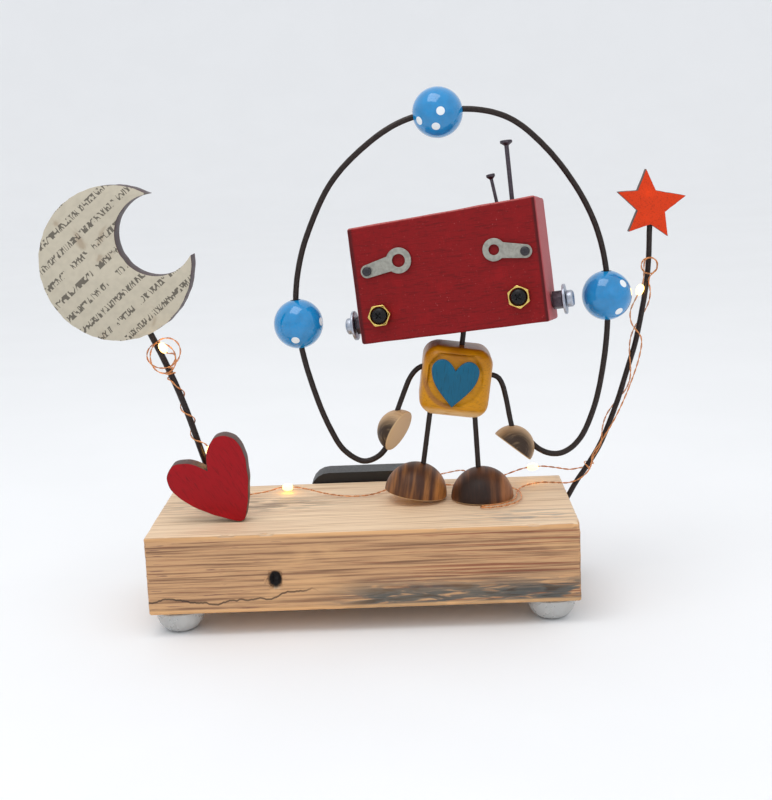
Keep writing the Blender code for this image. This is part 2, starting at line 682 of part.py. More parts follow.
# ---------------------------------------------------------------- head

HEAD = (
    Matrix.Translation(HEAD_ORIGIN)
    @ Matrix.Rotation(math.radians(HEAD_YAW), 4, "Z")
    @ Matrix.Rotation(math.radians(HEAD_TILT), 4, "Y")
    @ Matrix.Rotation(math.radians(HEAD_NOD), 4, "X")
)
HEAD_PIVOT = aim(NECK_PIVOT, NECK_WAY)
HEAD_FACE = -HEAD_DEPTH / 2


def in_head(matrix):
    """A matrix of the head's frame, seen from the neck pivot."""
    return HEAD_PIVOT.inverted() @ HEAD @ matrix


def head_spot(x, y, z):
    return in_head(Matrix.Translation((x, y, z))).translation


def head_bore(target, start, end, radius, parent, segments=12):
    bore(target, head_spot(*start), head_spot(*end), radius, parent, segments)


def face_in_head(x, y, z, turn=0.0):
    """Frame on the head's face: local Z points out of the face, local Y up."""
    return in_head(Matrix.Translation((x, y, z)) @ Matrix.Rotation(math.radians(90.0), 4, "X")
                   @ Matrix.Rotation(math.radians(turn), 4, "Z"))


def lug_outline(ring, half_tab, reach):
    """Ring round the origin with a tab to +X that ends in a half circle at reach."""
    join = math.degrees(math.asin(half_tab * 1.15 / ring))
    outline = arc((0.0, 0.0), ring, join, 360.0 - join, 22)
    outline += arc((reach, 0.0), half_tab, -80.0, 80.0, 8)
    return outline


def build_head():
    pivot = empty("head_pivot", HEAD_PIVOT)
    bm = bmesh.new()
    bmesh.ops.create_cube(bm, size=1.0)
    for vert in bm.verts:
        height = HEAD_HEIGHT_LEFT if vert.co.x < 0 else HEAD_HEIGHT_RIGHT
        top = height if vert.co.z > 0 else 0.0
        vert.co = (vert.co.x * HEAD_WIDTH, vert.co.y * HEAD_DEPTH, top)
    head = piece("head_block", mesh_from(bm, "head_block"), in_head(Matrix.Identity(4)), "red_paint", pivot)
    bevel(head, HEAD_EDGE)
    smooth(head)
    bore(head, (0, 0, -DRILL_REACH), (0, 0, NECK_REACH + GAP), LIMB_WIRE + GAP, pivot)
    build_eyes(head, pivot)
    build_cheeks(head, pivot)
    build_ears(head, pivot)
    build_antennae(head, pivot)


def build_eyes(head, pivot):
    """Two crimp lugs, each hung on a nail so that it swings on the face."""
    for side, (ring, hole, half_tab, centre, nail) in EYE_LUGS.items():
        reach = nail - centre
        turn = math.degrees(math.atan2(reach.z, reach.x))
        lug_y = HEAD_FACE - GAP - LUG_THICK / 2
        eye_pivot = empty(f"{side}_eye_pivot", face_in_head(nail.x, lug_y, nail.z, turn), pivot)
        outline = [(x - reach.length, y) for x, y in lug_outline(ring, half_tab, reach.length)]
        holes = [circle(hole, 16, (-reach.length, 0.0)), circle(EYE_NAIL_RADIUS + LUG_NAIL_SLACK, 12)]
        plate(f"{side}_eye_lug", [outline] + holes, LUG_THICK, Matrix.Identity(4), "lug_metal", eye_pivot)
        seat_y = HEAD_FACE - GAP - LUG_THICK - GAP
        profile = [
            (0.0, EYE_NAIL_CROWN), (EYE_NAIL_HEAD * 0.7, EYE_NAIL_CROWN * 0.95),
            (EYE_NAIL_HEAD, EYE_NAIL_CROWN / 2), (EYE_NAIL_HEAD, 0.0), (EYE_NAIL_RADIUS, 0.0),
            (EYE_NAIL_RADIUS, 1.0 - EYE_NAIL_LENGTH), (0.0, -EYE_NAIL_LENGTH),
        ]
        turned(f"{side}_eye_nail", profile, face_in_head(nail.x, seat_y, nail.z), "nail_steel", pivot, 12)
        head_bore(head, (nail.x, HEAD_FACE - 1.0, nail.z), (nail.x, seat_y + EYE_NAIL_LENGTH + GAP, nail.z),
                  EYE_NAIL_RADIUS + GAP, pivot)


def build_cheeks(head, pivot):
    for side, (centre, turn) in CHEEKS.items():
        back = HEAD_FACE - GAP
        rim = back - NUT_THICK
        crown = rim + NUT_SEAT_DEPTH - GAP
        nut = solid_plate(f"{side}_cheek_nut", [hexagon(NUT_FLATS, turn), circle(NUT_HOLE, 16)], NUT_THICK,
                          face_in_head(centre.x, back - NUT_THICK / 2, centre.z), "brass", pivot)
        head_bore(nut, (centre.x, rim - 1.0, centre.z), (centre.x, rim + NUT_SEAT_DEPTH, centre.z),
                  NUT_SEAT_RADIUS, pivot, 20)
        profile = [
            (0.0, SCREW_CROWN), (SCREW_PAN * 0.52, SCREW_CROWN * 0.92),
            (SCREW_PAN * 0.87, SCREW_CROWN * 0.6), (SCREW_PAN, SCREW_CROWN / 4), (SCREW_PAN, 0.0),
            (SCREW_SHANK, 0.0),
            (SCREW_SHANK, 2.0 - SCREW_LENGTH), (0.0, -SCREW_LENGTH),
        ]
        screw = turned(f"{side}_cheek_screw", profile, face_in_head(centre.x, crown, centre.z),
                       "black_screw", pivot, 18)
        for slot in (45.0, 135.0):
            mesh = box_mesh(f"{side}_phillips", PHILLIPS_SLOT)
            spot = face_in_head(centre.x, crown - SCREW_CROWN, centre.z, slot)
            cut(screw, cutter(mesh, spot, pivot))
        mouth = (centre.x, HEAD_FACE - 1.0, centre.z)
        head_bore(head, mouth, (centre.x, crown + SCREW_LENGTH + GAP, centre.z), SCREW_SHANK + GAP, pivot)


def build_ears(head, pivot):
    for side, sign in (("left", -1.0), ("right", 1.0)):
        outward = in_head(Matrix.Rotation(math.radians(90.0 * sign), 4, "Y")).to_3x3().to_4x4()
        start = HEAD_WIDTH / 2 + GAP
        washer_at = start + EAR_NUT_LENGTH + GAP
        head_at = washer_at + WASHER_THICK + GAP
        tip = start - BOLT_REACH

        def along(distance):
            return Matrix.Translation(head_spot(sign * distance, 0.0, EAR_HEIGHT)) @ outward

        hole = circle(BOLT_SHANK + GAP, 12)
        plate(f"{side}_ear_nut", [hexagon(EAR_NUT_FLATS, 12.0), hole], EAR_NUT_LENGTH,
              along(start + EAR_NUT_LENGTH / 2), "nail_steel", pivot)
        plate(f"{side}_ear_washer", [circle(WASHER_RADIUS, 24), hole], WASHER_THICK,
              along(washer_at + WASHER_THICK / 2), "zinc", pivot)
        profile = [
            (0.0, BOLT_HEAD), (BOLT_HEAD_RADIUS * 0.8, BOLT_HEAD), (BOLT_HEAD_RADIUS, BOLT_HEAD - 0.5),
            (BOLT_HEAD_RADIUS, 0.0), (BOLT_SHANK, 0.0), (BOLT_SHANK, tip - head_at), (0.0, tip - head_at),
        ]
        turned(f"{side}_ear_bolt", profile, along(head_at), "zinc", pivot, 12)
        head_bore(head, (sign * (start + 1.0), 0.0, EAR_HEIGHT), (sign * (tip - GAP), 0.0, EAR_HEIGHT),
                  BOLT_SHANK + GAP, pivot)


def build_antennae(head, pivot):
    slope = (HEAD_HEIGHT_RIGHT - HEAD_HEIGHT_LEFT) / HEAD_WIDTH
    for name, (x, lean, length, shank, crown) in ANTENNAE.items():
        top = HEAD_HEIGHT_LEFT + slope * (x + HEAD_WIDTH / 2)
        local = Matrix.Translation((x, 0.0, top)) @ Matrix.Rotation(math.radians(lean), 4, "Y")
        profile = [
            (0.0, length), (crown, length - 0.2), (crown, length - 1.1), (shank, length - 1.9),
            (shank, 1.5 - ANTENNA_SUNK), (0.0, -ANTENNA_SUNK),
        ]
        turned(name, profile, in_head(local), "nail_steel", pivot, 12)
        head_bore(head, local @ Vector((0, 0, 3.0)), local @ Vector((0, 0, -ANTENNA_SUNK - GAP)),
                  shank + GAP, pivot)


# ---------------------------------------------------------------- moon, heart, star

STICK_PATH = smooth_path(STICK_POINTS, 6.0)
STAR_PATH = smooth_path([(x, STAR_WIRE_Y, z) for x, z in STAR_WIRE_POINTS], 6.0)
MOON = face_frame(MOON_CENTRE, yaw=MOON_YAW)
RED_HEART = face_frame(RED_HEART_NOTCH, RED_HEART_LEAN)
HEART_TIP = RED_HEART @ Vector((-0.8, -20.5, 0.0))
HEART_PIN_WAY = Vector((0.15, 0.0, -1.0)).normalized()
HEART_PIN_TOP = HEART_TIP - HEART_PIN_WAY * HEART_PIN_SUNK
HEART_PIN_FOOT = HEART_PIN_TOP + HEART_PIN_WAY * HEART_PIN_LENGTH


def crescent_outline():
    """Outer circle with the bite taken out of its upper right."""
    bite = Vector(BITE_CENTRE)
    distance = bite.length
    towards = math.degrees(math.atan2(bite.y, bite.x))
    outer = math.degrees(math.acos((distance ** 2 + MOON_RADIUS ** 2 - BITE_RADIUS ** 2)
                                   / (2 * distance * MOON_RADIUS)))
    inner = math.degrees(math.acos((MOON_RADIUS ** 2 - distance ** 2 - BITE_RADIUS ** 2)
                                   / (2 * distance * BITE_RADIUS)))
    outline = arc((0.0, 0.0), MOON_RADIUS, towards + outer, towards + 360.0 - outer, 40)
    outline += arc(BITE_CENTRE, BITE_RADIUS, towards + 360.0 - inner, towards + inner, 28)[1:-1]
    return outline


def build_moon():
    outline = crescent_outline()
    moon = solid_plate("moon_disc", [outline], MOON_THICK, MOON, "moon_wood")
    paper_z = MOON_THICK / 2 + GAP + PAPER_THICK / 2
    plate("moon_paper", [outline], PAPER_THICK, MOON @ Matrix.Translation((0, 0, paper_z)), "moon_paper")
    wire("moon_stick", STICK_PATH, MOON_WIRE, "black_wire")
    seat(moon, STICK_PATH[-1], STICK_PATH[-2], MOON_WIRE + GAP + BEND_SLACK)


def build_red_heart():
    outline = [(p.x, p.y) for p in closed_curve(mirrored_outline(RED_HEART_SIDE), 2, (0,))]
    heart = solid_plate("red_heart", [outline], RED_HEART_THICK, RED_HEART, "heart_red")
    seat(heart, HEART_PIN_TOP, HEART_PIN_FOOT, HEART_PIN_RADIUS + GAP)
    pin = rod_mesh("heart_pin", HEART_PIN_RADIUS, HEART_PIN_LENGTH, 12)
    piece("heart_pin", pin, aim(HEART_PIN_TOP, HEART_PIN_WAY), "nail_steel")


def build_star():
    star = solid_plate("star", [STAR_OUTLINE], STAR_THICK, face_frame(STAR_CENTRE), "star_orange")
    wire("star_wire", STAR_PATH, STAR_WIRE, "black_wire")
    seat(star, STAR_PATH[-1], STAR_PATH[-2], STAR_WIRE + GAP)


# ---------------------------------------------------------------- battery case

def case_spot(x, y, z):
    """A place in the case: x and z from its middle, y from its front face."""
    return Vector((CASE_CENTRE.x + x, CASE_FRONT + y, CASE_CENTRE.z + z))


def case_box(name, low, high):
    """A cutter from low to high in the case's own places."""
    low, high = Vector(low), Vector(high)
    mesh = box_mesh(name, tuple(high - low))
    return cutter(mesh, Matrix.Translation(case_spot(*((low + high) / 2))))


def build_battery_case():
    half_width, half_height = CASE_WIDTH / 2, CASE_HEIGHT / 2
    outline = []
    for x_sign, z_sign, start in ((1, 1, 0.0), (-1, 1, 90.0), (-1, -1, 180.0), (1, -1, 270.0)):
        corner = (x_sign * (half_width - CASE_CORNER), z_sign * (half_height - CASE_CORNER))
        outline += arc(corner, CASE_CORNER, start, start + 90.0, 6)
    middle = face_frame(case_spot(0.0, CASE_DEPTH / 2, 0.0))
    case = solid_plate("battery_case", [outline], CASE_DEPTH, middle, "case_plastic")
    inside = half_width - CASE_WALL
    past = half_width + 10.0
    back = CASE_DEPTH + 1.0
    deck = CASE_DEPTH - COVER_THICK - GAP
    groove = deck + GAP
    slot_x, slot_z = SWITCH_SLOT[0] / 2, SWITCH_SLOT[1] / 2
    hollows = {
        "battery_bay": ((-inside, CASE_WALL, CAVITY_LOW), (inside, back, CAVITY_HIGH)),
        "cover_seat": ((-past, deck, COVER_LOW - GAP), (past, back, COVER_HIGH + GAP)),
        "cover_grooves": ((-past, groove, COVER_LOW - RAIL - GAP),
                          (past, groove + RAIL + GAP, COVER_HIGH + RAIL + GAP)),
        "switch_bay": ((-13.0, CASE_WALL, SWITCH_HEIGHT - 2.6),
                       (half_width - 6.0, CASE_DEPTH - 1.6, SWITCH_HEIGHT + 2.6)),
        "switch_slot": ((-slot_x, CASE_DEPTH - 3.0, SWITCH_HEIGHT - slot_z),
                        (slot_x, back, SWITCH_HEIGHT + slot_z)),
    }
    for name, (low, high) in hollows.items():
        cut(case, case_box(name, low, high))
    bore(case, case_spot(half_width + 1, *STRING_EXIT), case_spot(half_width - 8, *STRING_EXIT), 1.0)
    build_cover(groove)
    build_switch()
    tape = box_mesh("mounting_tape", (TAPE_WIDTH, TAPE_THICK, TAPE_HEIGHT))
    tape_spot = Vector((CASE_CENTRE.x, BASE_DEPTH / 2 + GAP + TAPE_THICK / 2, TAPE_MIDDLE))
    piece("mounting_tape", tape, Matrix.Translation(tape_spot), "foam_tape")
    build_cells()


def build_cover(groove):
    """The cover slides off sideways: a plate with a tongue in the case's two grooves."""
    middle_y = CASE_DEPTH - COVER_THICK / 2
    height = COVER_HIGH - COVER_LOW
    middle = case_spot(0.0, middle_y, (COVER_LOW + COVER_HIGH) / 2)
    pivot = empty("battery_cover_pivot", Matrix.Translation(middle))
    cover = piece("battery_cover", box_mesh("battery_cover", (CASE_WIDTH, COVER_THICK, height)),
                  Matrix.Identity(4), "case_plastic", pivot)
    tongue = box_mesh("cover_tongue", (CASE_WIDTH - 2.0, RAIL - GAP, height + 2 * (RAIL - GAP)))
    tongue_y = groove + (RAIL + GAP) / 2 - middle_y
    cut(cover, cutter(tongue, Matrix.Translation((0.0, tongue_y, 0.0)), pivot), "UNION")
    for ridge in range(COVER_GRIPS):
        mesh = box_mesh("grip_groove", (1.2, 1.0, 12.0))
        spot = Matrix.Translation((14.0 + 2.0 * ridge, COVER_THICK / 2 + 0.1, 0.0))
        cut(cover, cutter(mesh, spot, pivot))


def build_switch():
    off = case_spot(-SWITCH_TRAVEL / 2, CASE_DEPTH, SWITCH_HEIGHT)
    pivot = empty("switch_pivot", Matrix.Translation(off))
    knob = (SWITCH_SLOT[0] - SWITCH_TRAVEL - 2 * GAP, SWITCH_DEPTH, SWITCH_SLOT[1] - 2 * GAP)
    switch = piece("switch_slider", box_mesh("switch_slider", knob), Matrix.Translation((0.0, -0.9, 0.0)),
                   "case_plastic", pivot)
    bevel(switch, 0.25, 1)


def build_cells():
    cell_y = CASE_WALL + GAP + STRAP_THICK + GAP
    contact_y = cell_y + CELL_THICK + GAP + STRAP_THICK / 2
    bay_z = (CAVITY_LOW + CAVITY_HIGH) / 2
    strap_spot = case_spot(0.0, CASE_WALL + GAP + STRAP_THICK / 2, bay_z)
    piece("cell_strap", box_mesh("cell_strap", (34.0, STRAP_THICK, 6.0)), Matrix.Translation(strap_spot),
          "cell_steel")
    profile = [
        (0.0, 0.0), (CELL_RADIUS - 1.2, 0.0), (CELL_RADIUS - 1.0, -0.5), (CELL_RADIUS, -0.6),
        (CELL_RADIUS, -CELL_THICK), (0.0, -CELL_THICK),
    ]
    for side, sign in (("left", -1.0), ("right", 1.0)):
        x = sign * CELL_SPACING
        turned(f"{side}_cell", profile, aim(case_spot(x, cell_y, bay_z), Vector((0, -1, 0))), "cell_steel")
        piece(f"{side}_contact", box_mesh(f"{side}_contact", (5.0, STRAP_THICK, 16.0)),
              Matrix.Translation(case_spot(x, contact_y, bay_z)), "cell_steel")


# ---------------------------------------------------------------- light string

def along_path(path, share):
    """Point and direction at a share of a path's length."""
    lengths = [(b - a).length for a, b in zip(path, path[1:])]
    goal = share * sum(lengths)
    for index, length in enumerate(lengths):
        if goal <= length or index == len(lengths) - 1:
            spot = path[index].lerp(path[index + 1], min(goal / length, 1.0))
            return spot, (path[index + 1] - path[index]).normalized()
        goal -= length
    return path[-1], (path[-1] - path[-2]).normalized()


def winding(path, start, end, turns, radius, side):
    """Points of a winding round a wire, between two shares of its length, from one side of it."""
    count = round(turns * TURN_POINTS)
    points = []
    for index in range(count + 1):
        spot, way = along_path(path, start + (end - start) * index / count)
        across = way.cross(Vector((0, 1, 0))).normalized()
        front = across.cross(way).normalized()
        angle = side + 2 * math.pi * turns * index / count
        points.append(spot + (across * math.cos(angle) + front * math.sin(angle)) * radius)
    return points


def loop(centre, radius, start, turns, drift):
    """Points of an open loop facing the front, drifting forward by drift in all."""
    count = round(turns * TURN_POINTS)
    basis = aim(centre, Vector((0, -1, 0)))
    points = []
    for index in range(count + 1):
        share = index / count
        angle = math.radians(start) + 2 * math.pi * turns * share
        points.append(basis @ Vector((radius * math.cos(angle), radius * math.sin(angle), drift * share)))
    return points


def led_stretch(led):
    """The straight stretch of wire that runs through an LED drop."""
    centre, way = Vector(led[0]), Vector(led[1]).normalized()
    return [centre - way * LED_LENGTH * 0.75, centre, centre + way * LED_LENGTH * 0.75]


def string_route():
    star_wind = STAR_WIRE + STRING_RADIUS + STRING_STAND_OFF
    stick_wind = MOON_WIRE + STRING_RADIUS + STRING_STAND_OFF
    route = [Vector(p) for p in CASE_TO_FOOT]
    route += led_stretch(LED_BY_FOOT)
    route += [Vector(p) for p in FOOT_TO_STAR]
    route += winding(STAR_PATH, *STAR_KNOT, star_wind, BACK)
    route += winding(STAR_PATH, *STAR_CLIMB, star_wind, FRONT)
    route += loop(STAR_LOOP, STAR_LOOP_RADIUS, 300.0, 1.5, 1.2)
    route += led_stretch(LED_BY_STAR)
    route += [Vector(p) for p in STAR_DROP]
    route += led_stretch(LED_BEHIND_FOOT)
    route += [Vector(p) for p in FEET_TO_HEART]
    route += led_stretch(LED_ON_BASE)
    route += [Vector(p) for p in HEART_TO_STICK]
    route += winding(STICK_PATH, *STICK_FOOT_WIND, stick_wind, BACK)
    route += led_stretch(LED_ON_STICK)
    route += winding(STICK_PATH, *STICK_CLIMB, stick_wind, FRONT)
    route += winding(STICK_PATH, *STICK_KNOT, stick_wind, FRONT)
    route += loop(TOP_LOOP, TOP_LOOP_RADIUS, 290.0, TOP_LOOP_TURNS, TOP_LOOP_DRIFT)
    route += led_stretch(LED_AT_MOON)
    return route


def build_light_string():
    wire("light_string", smooth_path(string_route(), STRING_STEP), STRING_RADIUS, "copper_wire")
    half = LED_LENGTH / 2
    hole = STRING_RADIUS + GAP + 0.1
    shoulder = LED_RADIUS * 0.75
    profile = [
        (hole, half), (shoulder, half * 0.8), (LED_RADIUS, 0.0), (shoulder, -half * 0.8), (hole, -half),
        (hole, half),
    ]
    for number, (centre, way) in enumerate(LEDS, start=1):
        turned(f"led_{number}", profile, aim(Vector(centre), Vector(way)), "led_resin", steps=12)


build_base()
build_feet_and_legs()
build_torso()
build_arms()
build_hoop_and_beads()
build_head()
build_moon()
build_red_heart()
build_star()
build_battery_case()
build_light_string()
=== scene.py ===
"""Looks of a wood and wire robot ornament lamp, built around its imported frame.

Lengths are millimetres in the stand frame, whose origin lies under the middle of the base block on the
surface it stands on. STAND carries them into the frame of the part, which is in metres.
"""

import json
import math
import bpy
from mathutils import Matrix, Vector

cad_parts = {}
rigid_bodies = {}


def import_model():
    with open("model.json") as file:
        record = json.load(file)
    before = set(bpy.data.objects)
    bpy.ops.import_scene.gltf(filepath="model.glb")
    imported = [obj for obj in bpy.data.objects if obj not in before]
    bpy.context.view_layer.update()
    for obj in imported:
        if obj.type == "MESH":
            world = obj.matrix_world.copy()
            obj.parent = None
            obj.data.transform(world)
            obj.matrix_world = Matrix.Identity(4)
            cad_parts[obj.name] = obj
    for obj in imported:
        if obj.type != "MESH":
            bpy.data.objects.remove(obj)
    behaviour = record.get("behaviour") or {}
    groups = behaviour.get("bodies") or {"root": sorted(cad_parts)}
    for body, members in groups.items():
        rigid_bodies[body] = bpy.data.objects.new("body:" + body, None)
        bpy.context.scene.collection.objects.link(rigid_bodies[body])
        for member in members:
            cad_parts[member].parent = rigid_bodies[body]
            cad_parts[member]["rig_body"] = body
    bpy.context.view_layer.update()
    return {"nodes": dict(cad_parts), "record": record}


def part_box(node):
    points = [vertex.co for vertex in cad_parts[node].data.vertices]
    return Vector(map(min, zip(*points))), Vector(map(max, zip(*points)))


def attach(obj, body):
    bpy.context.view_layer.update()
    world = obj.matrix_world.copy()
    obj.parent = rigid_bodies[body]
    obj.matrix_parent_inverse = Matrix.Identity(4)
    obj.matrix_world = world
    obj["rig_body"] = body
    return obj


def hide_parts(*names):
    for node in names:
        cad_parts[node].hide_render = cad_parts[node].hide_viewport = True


bl_info = {
    "name": "Robot Ornament Lamp",
    "version": (1, 0, 0),
    "blender": (4, 5, 0),
    "location": "View3D > Sidebar > Robot Lamp",
    "description": "Builds the wood, wire, paint and lights of a small robot ornament lamp",
    "category": "Add Mesh",
}

import bmesh
import bpy
from bpy.props import FloatProperty, FloatVectorProperty, IntProperty, PointerProperty
from bpy.types import Operator, Panel, PropertyGroup
from mathutils import Matrix, Vector, noise

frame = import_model()

MM = 0.001
GAP = 0.3  # clearance that the frame keeps between neighbouring pieces
BASE_LOW, BASE_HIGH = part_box("base_block")
STAND = Matrix.Translation(((BASE_LOW.x + BASE_HIGH.x) / 2, (BASE_LOW.y + BASE_HIGH.y) / 2, 0.0))
BASE_SIZE = (BASE_HIGH - BASE_LOW) / MM
BASE_MIDDLE = Vector((0.0, 0.0, (BASE_LOW.z + BASE_HIGH.z) / 2 / MM))
BASE_TOP = BASE_HIGH.z / MM

BASE_ROUND, BASE_EDGE, BASE_MESH = 1.0, 1.4, (1.8, 1.8, 1.3)
KNOT_X, KNOT_Z, KNOT_SQUASH = -33.5, -2.8, 0.75
KNOT_RADIUS, KNOT_DEPTH = 3.0, 4.0
GROOVE_STRETCH = (0.012, 0.55, 0.55)
GROOVE_DEPTH, SANDED_OFF = 0.14, 0.12
CHIP_SCALE, CHIP_START = 0.16, 0.15
BROKEN_CORNER, BROKEN_DEPTH = 3.4, 0.45
BUMPER_X, BUMPER_Y, BUMPER_FLAT, BUMPER_LIP = 72.0, 26.0, 3.0, 0.4

# ---------------------------------------------------------------- places, as the frame has them

FOOT_RADIUS = 12.6
HAND_RADIUS = 8.8
FEET = {
    "left": Matrix.Translation((21.0, 5.5, 42.7)) @ Matrix.Rotation(math.radians(9.5), 4, "Y"),
    "right": Matrix.Translation((47.8, 3.5, BASE_TOP + GAP)),
}
HANDS = {
    "left": (Vector((15.3, 4.0, 68.6)), Vector((0.793, -0.427, -0.434))),
    "right": (Vector((60.4, 4.0, 60.5)), Vector((-0.625, -0.127, -0.770))),
}
SCORCHED = {"left": Vector((-0.45, -0.8, -0.25)), "right": Vector((0.05, -0.97, 0.06))}
HAND_SCORCH, FOOT_SCORCH, FOOT_SCORCH_SPOT = 5.4, 5.0, (-4.0, -10.0, 4.0)
FOOT_EDGE = 0.7
LEGS = {
    "left": ((23.7, 5.4, 49.6), (28.5, 4.4, 79.5)),
    "right": ((46.7, 3.8, 47.6), (45.6, 4.2, 77.5)),
}
ARMS = {
    "left": ((29.5, 4.0, 95.2), (25.0, 4.0, 94.6), (22.5, 4.0, 92.9), (20.2, 4.0, 89.8), (17.6, 4.0, 83.8),
             (15.4, 4.0, 78.4), (13.6, 4.0, 73.6)),
    "right": ((49.0, 4.0, 90.4), (53.6, 4.0, 90.0), (55.7, 4.0, 88.7), (57.1, 4.0, 85.9), (58.3, 4.0, 80.7),
              (59.5, 4.0, 73.5), (60.4, 4.0, 68.6), (61.0, 4.0, 65.2)),
}
TORSO_SIZE = 27.4
TORSO = Matrix.Translation((38.4, 4.0, 89.4)) @ Matrix.Rotation(math.radians(8.3), 4, "Y")
DISH_CENTRE = Vector((-0.9, 0.0, 2.2))
DISH_RADIUS = 11.5
DISH_DEPTH = 1.2
DISH_WALL = 0.9
TORSO_ROUND, TORSO_MESH, TORSO_WORN = 6.2, (0.75, 0.75, 0.75), 0.08
CHEST_HEART_THICK = 2.0
CHEST_HEART_HEIGHT = 0.2
NECK = (Vector((40.6, 4.0, 96.6)), Vector((42.1, 4.0, 106.9)))
NECK_REACH = 8.5
HEAD = (
    Matrix.Translation((41.15, 4.0, 107.9))
    @ Matrix.Rotation(math.radians(-11.7), 4, "Z")
    @ Matrix.Rotation(math.radians(-6.6), 4, "Y")
    @ Matrix.Rotation(math.radians(-5.6), 4, "X")
)
HEAD_SIZE = Vector((74.5, 28.0, 48.2))
HEAD_LEFT_SHARE = 45.7 / 48.2  # height of the left end against the right end
HEAD_FACE = -HEAD_SIZE.y / 2
HEAD_ROUND, HEAD_EDGE, HEAD_MESH = 1.2, 1.5, (1.1, 1.1, 1.0)
HEAD_SANDED, HEAD_WORN = 0.14, 0.14
NOTCH_X, NOTCH_HALF, NOTCH_DEPTH = -19.3, 1.3, 1.4
NECK_HOLE_RADIUS, NECK_HOLE_TOP, NECK_HOLE_FOOT = 1.4, 9.0, -3.0
LUG_THICK = 0.7
EYE_LUGS = {
    "left": (5.0, 2.55, 2.6, Vector((-17.9, 0.0, 30.7)), Vector((-30.8, 0.0, 28.1))),
    "right": (4.4, 2.05, 2.6, Vector((19.4, 0.0, 29.8)), Vector((31.2, 0.0, 27.7))),
}
CHEEKS = {"left": (Vector((-27.9, 0.0, 10.6)), 2.0), "right": (Vector((26.8, 0.0, 10.9)), 32.0)}
EAR_HEIGHT = 7.6
ANTENNAE = {
    "tall": (26.6, 1.2, 23.3, 0.88, 2.4),
    "short": (20.6, -6.0, 11.6, 0.67, 1.75),
}
LUG_BORE, LUG_ROUND, LUG_JOIN = 1.15, 0.16, 1.15
NAIL_HEAD = ((0.0, 1.0), (1.1, 1.0), (1.8, 0.7), (1.8, 0.0))
NAIL_SHANK, NAIL_REACH, NAIL_POINT = 0.8, 9.0, 10.0
NUT_FLATS, NUT_BORE, NUT_THICK, NUT_ROUND = 8.0, 3.45, 3.0, 0.3
SCREW_RADIUS, SCREW_RIM, SCREW_DOME, SCREW_RAISED = 3.1, 0.4, 1.6, 1.3
SCREW_SHANK, SCREW_REACH = 2.2, 10.0
RECESS, RECESS_HEIGHT = (2.9, 0.6, 2.2), 1.9
EAR_BORE, EAR_NUT_FLATS, EAR_NUT_TURN, EAR_NUT_THICK = 1.8, 6.4, 12.0, 3.9
WASHER_RADIUS, WASHER_THICK = 5.9, 1.0
BOLT_HEAD = ((0.0, 2.7), (2.6, 2.7), (3.3, 2.1), (3.3, 0.0))
BOLT_SHANK, BOLT_REACH = 1.5, 12.0
ANTENNA_CROWN, ANTENNA_TAPER, ANTENNA_FOOT, ANTENNA_POINT = 1.0, 2.0, -7.0, -8.5
HOOP_Y = 4.0
HOOP_POINTS = (
    (11.6, 64.6), (7.0, 59.0), (0.7, 56.9), (-6.9, 61.6), (-12.9, 72.5), (-18.2, 88.0), (-21.9, 104.0),
    (-23.3, 122.0), (-20.9, 138.0), (-15.9, 152.0), (-7.2, 168.0), (5.2, 180.4), (19.5, 189.5),
    (34.8, 193.4), (51.5, 193.2), (63.5, 189.0), (76.5, 177.5), (88.4, 161.0), (95.2, 146.0),
    (98.6, 130.0), (98.9, 110.0), (96.8, 91.2), (92.9, 74.7), (87.0, 62.4), (80.8, 57.6),
    (75.5, 57.3), (70.6, 59.6), (67.2, 63.0),
)
BEAD_RADIUS = 9.75
BEAD_BORE = 2.1
MOON_CENTRE = Vector((-90.2, -6.0, 141.4))
MOON_RADIUS = 29.7
MOON_THICK = 7.5
PAPER_THICK = 0.3
ROW_SLOPE, ROW_PITCH = 40.0, 6.8
BITE_CENTRE = Vector((16.2, 10.3))
BITE_RADIUS = 15.6
MOON_YAW = -4.0
# How uneven each saw cut is: its depth, its features per millimetre and its seed
MOON_CUT, HEART_CUT, STAR_CUT = (0.3, 0.35, 2.0), (0.25, 0.3, 4.0), (0.2, 0.5, 6.0)
STICK_POINTS = (
    (-54.2, -5.0, 32.0), (-55.4, -5.0, 40.0), (-61.4, -5.2, 60.0), (-68.9, -5.5, 86.0),
    (-74.9, -5.8, 102.4), (-80.0, -6.0, 114.3), (-83.4, -6.0, 121.6),
)
RED_HEART_NOTCH = Vector((-59.1, -15.4, 60.9))
RED_HEART_LEAN = 32.0
RED_HEART_THICK = 7.5
PIN_SPOT, PIN_WAY = Vector((-0.8, -20.5, 0.0)), Vector((0.15, 0.0, -1.0))
PIN_LENGTH, PIN_RADIUS, PIN_IN_HEART = 12.5, 0.9, 3.0
RED_HEART_SIDE = (
    (0.0, 0.0), (2.9, 4.9), (6.0, 7.6), (9.7, 9.0), (13.2, 7.9), (15.6, 5.0), (16.2, 1.0),
    (14.9, -4.4), (12.0, -10.2), (7.6, -16.6), (3.4, -21.6), (0.0, -24.0),
)
BLUE_HEART_SIDE = (
    (0.0, 5.0), (2.0, 7.6), (4.6, 9.1), (7.4, 8.4), (9.2, 5.6), (8.4, 1.0), (5.6, -3.4), (0.0, -9.4),
)
STAR_CENTRE = Vector((117.0, 12.0, 154.0))
STAR_THICK = 4.5
STAR_OUTLINE = (
    (-1.6, 14.0), (2.1, 5.7), (13.8, 3.2), (5.6, -2.8), (6.7, -12.3), (0.0, -7.4),
    (-8.6, -10.0), (-5.1, -1.9), (-12.8, 5.6), (-5.0, 5.9),
)
STAR_WIRE_Y = 12.0
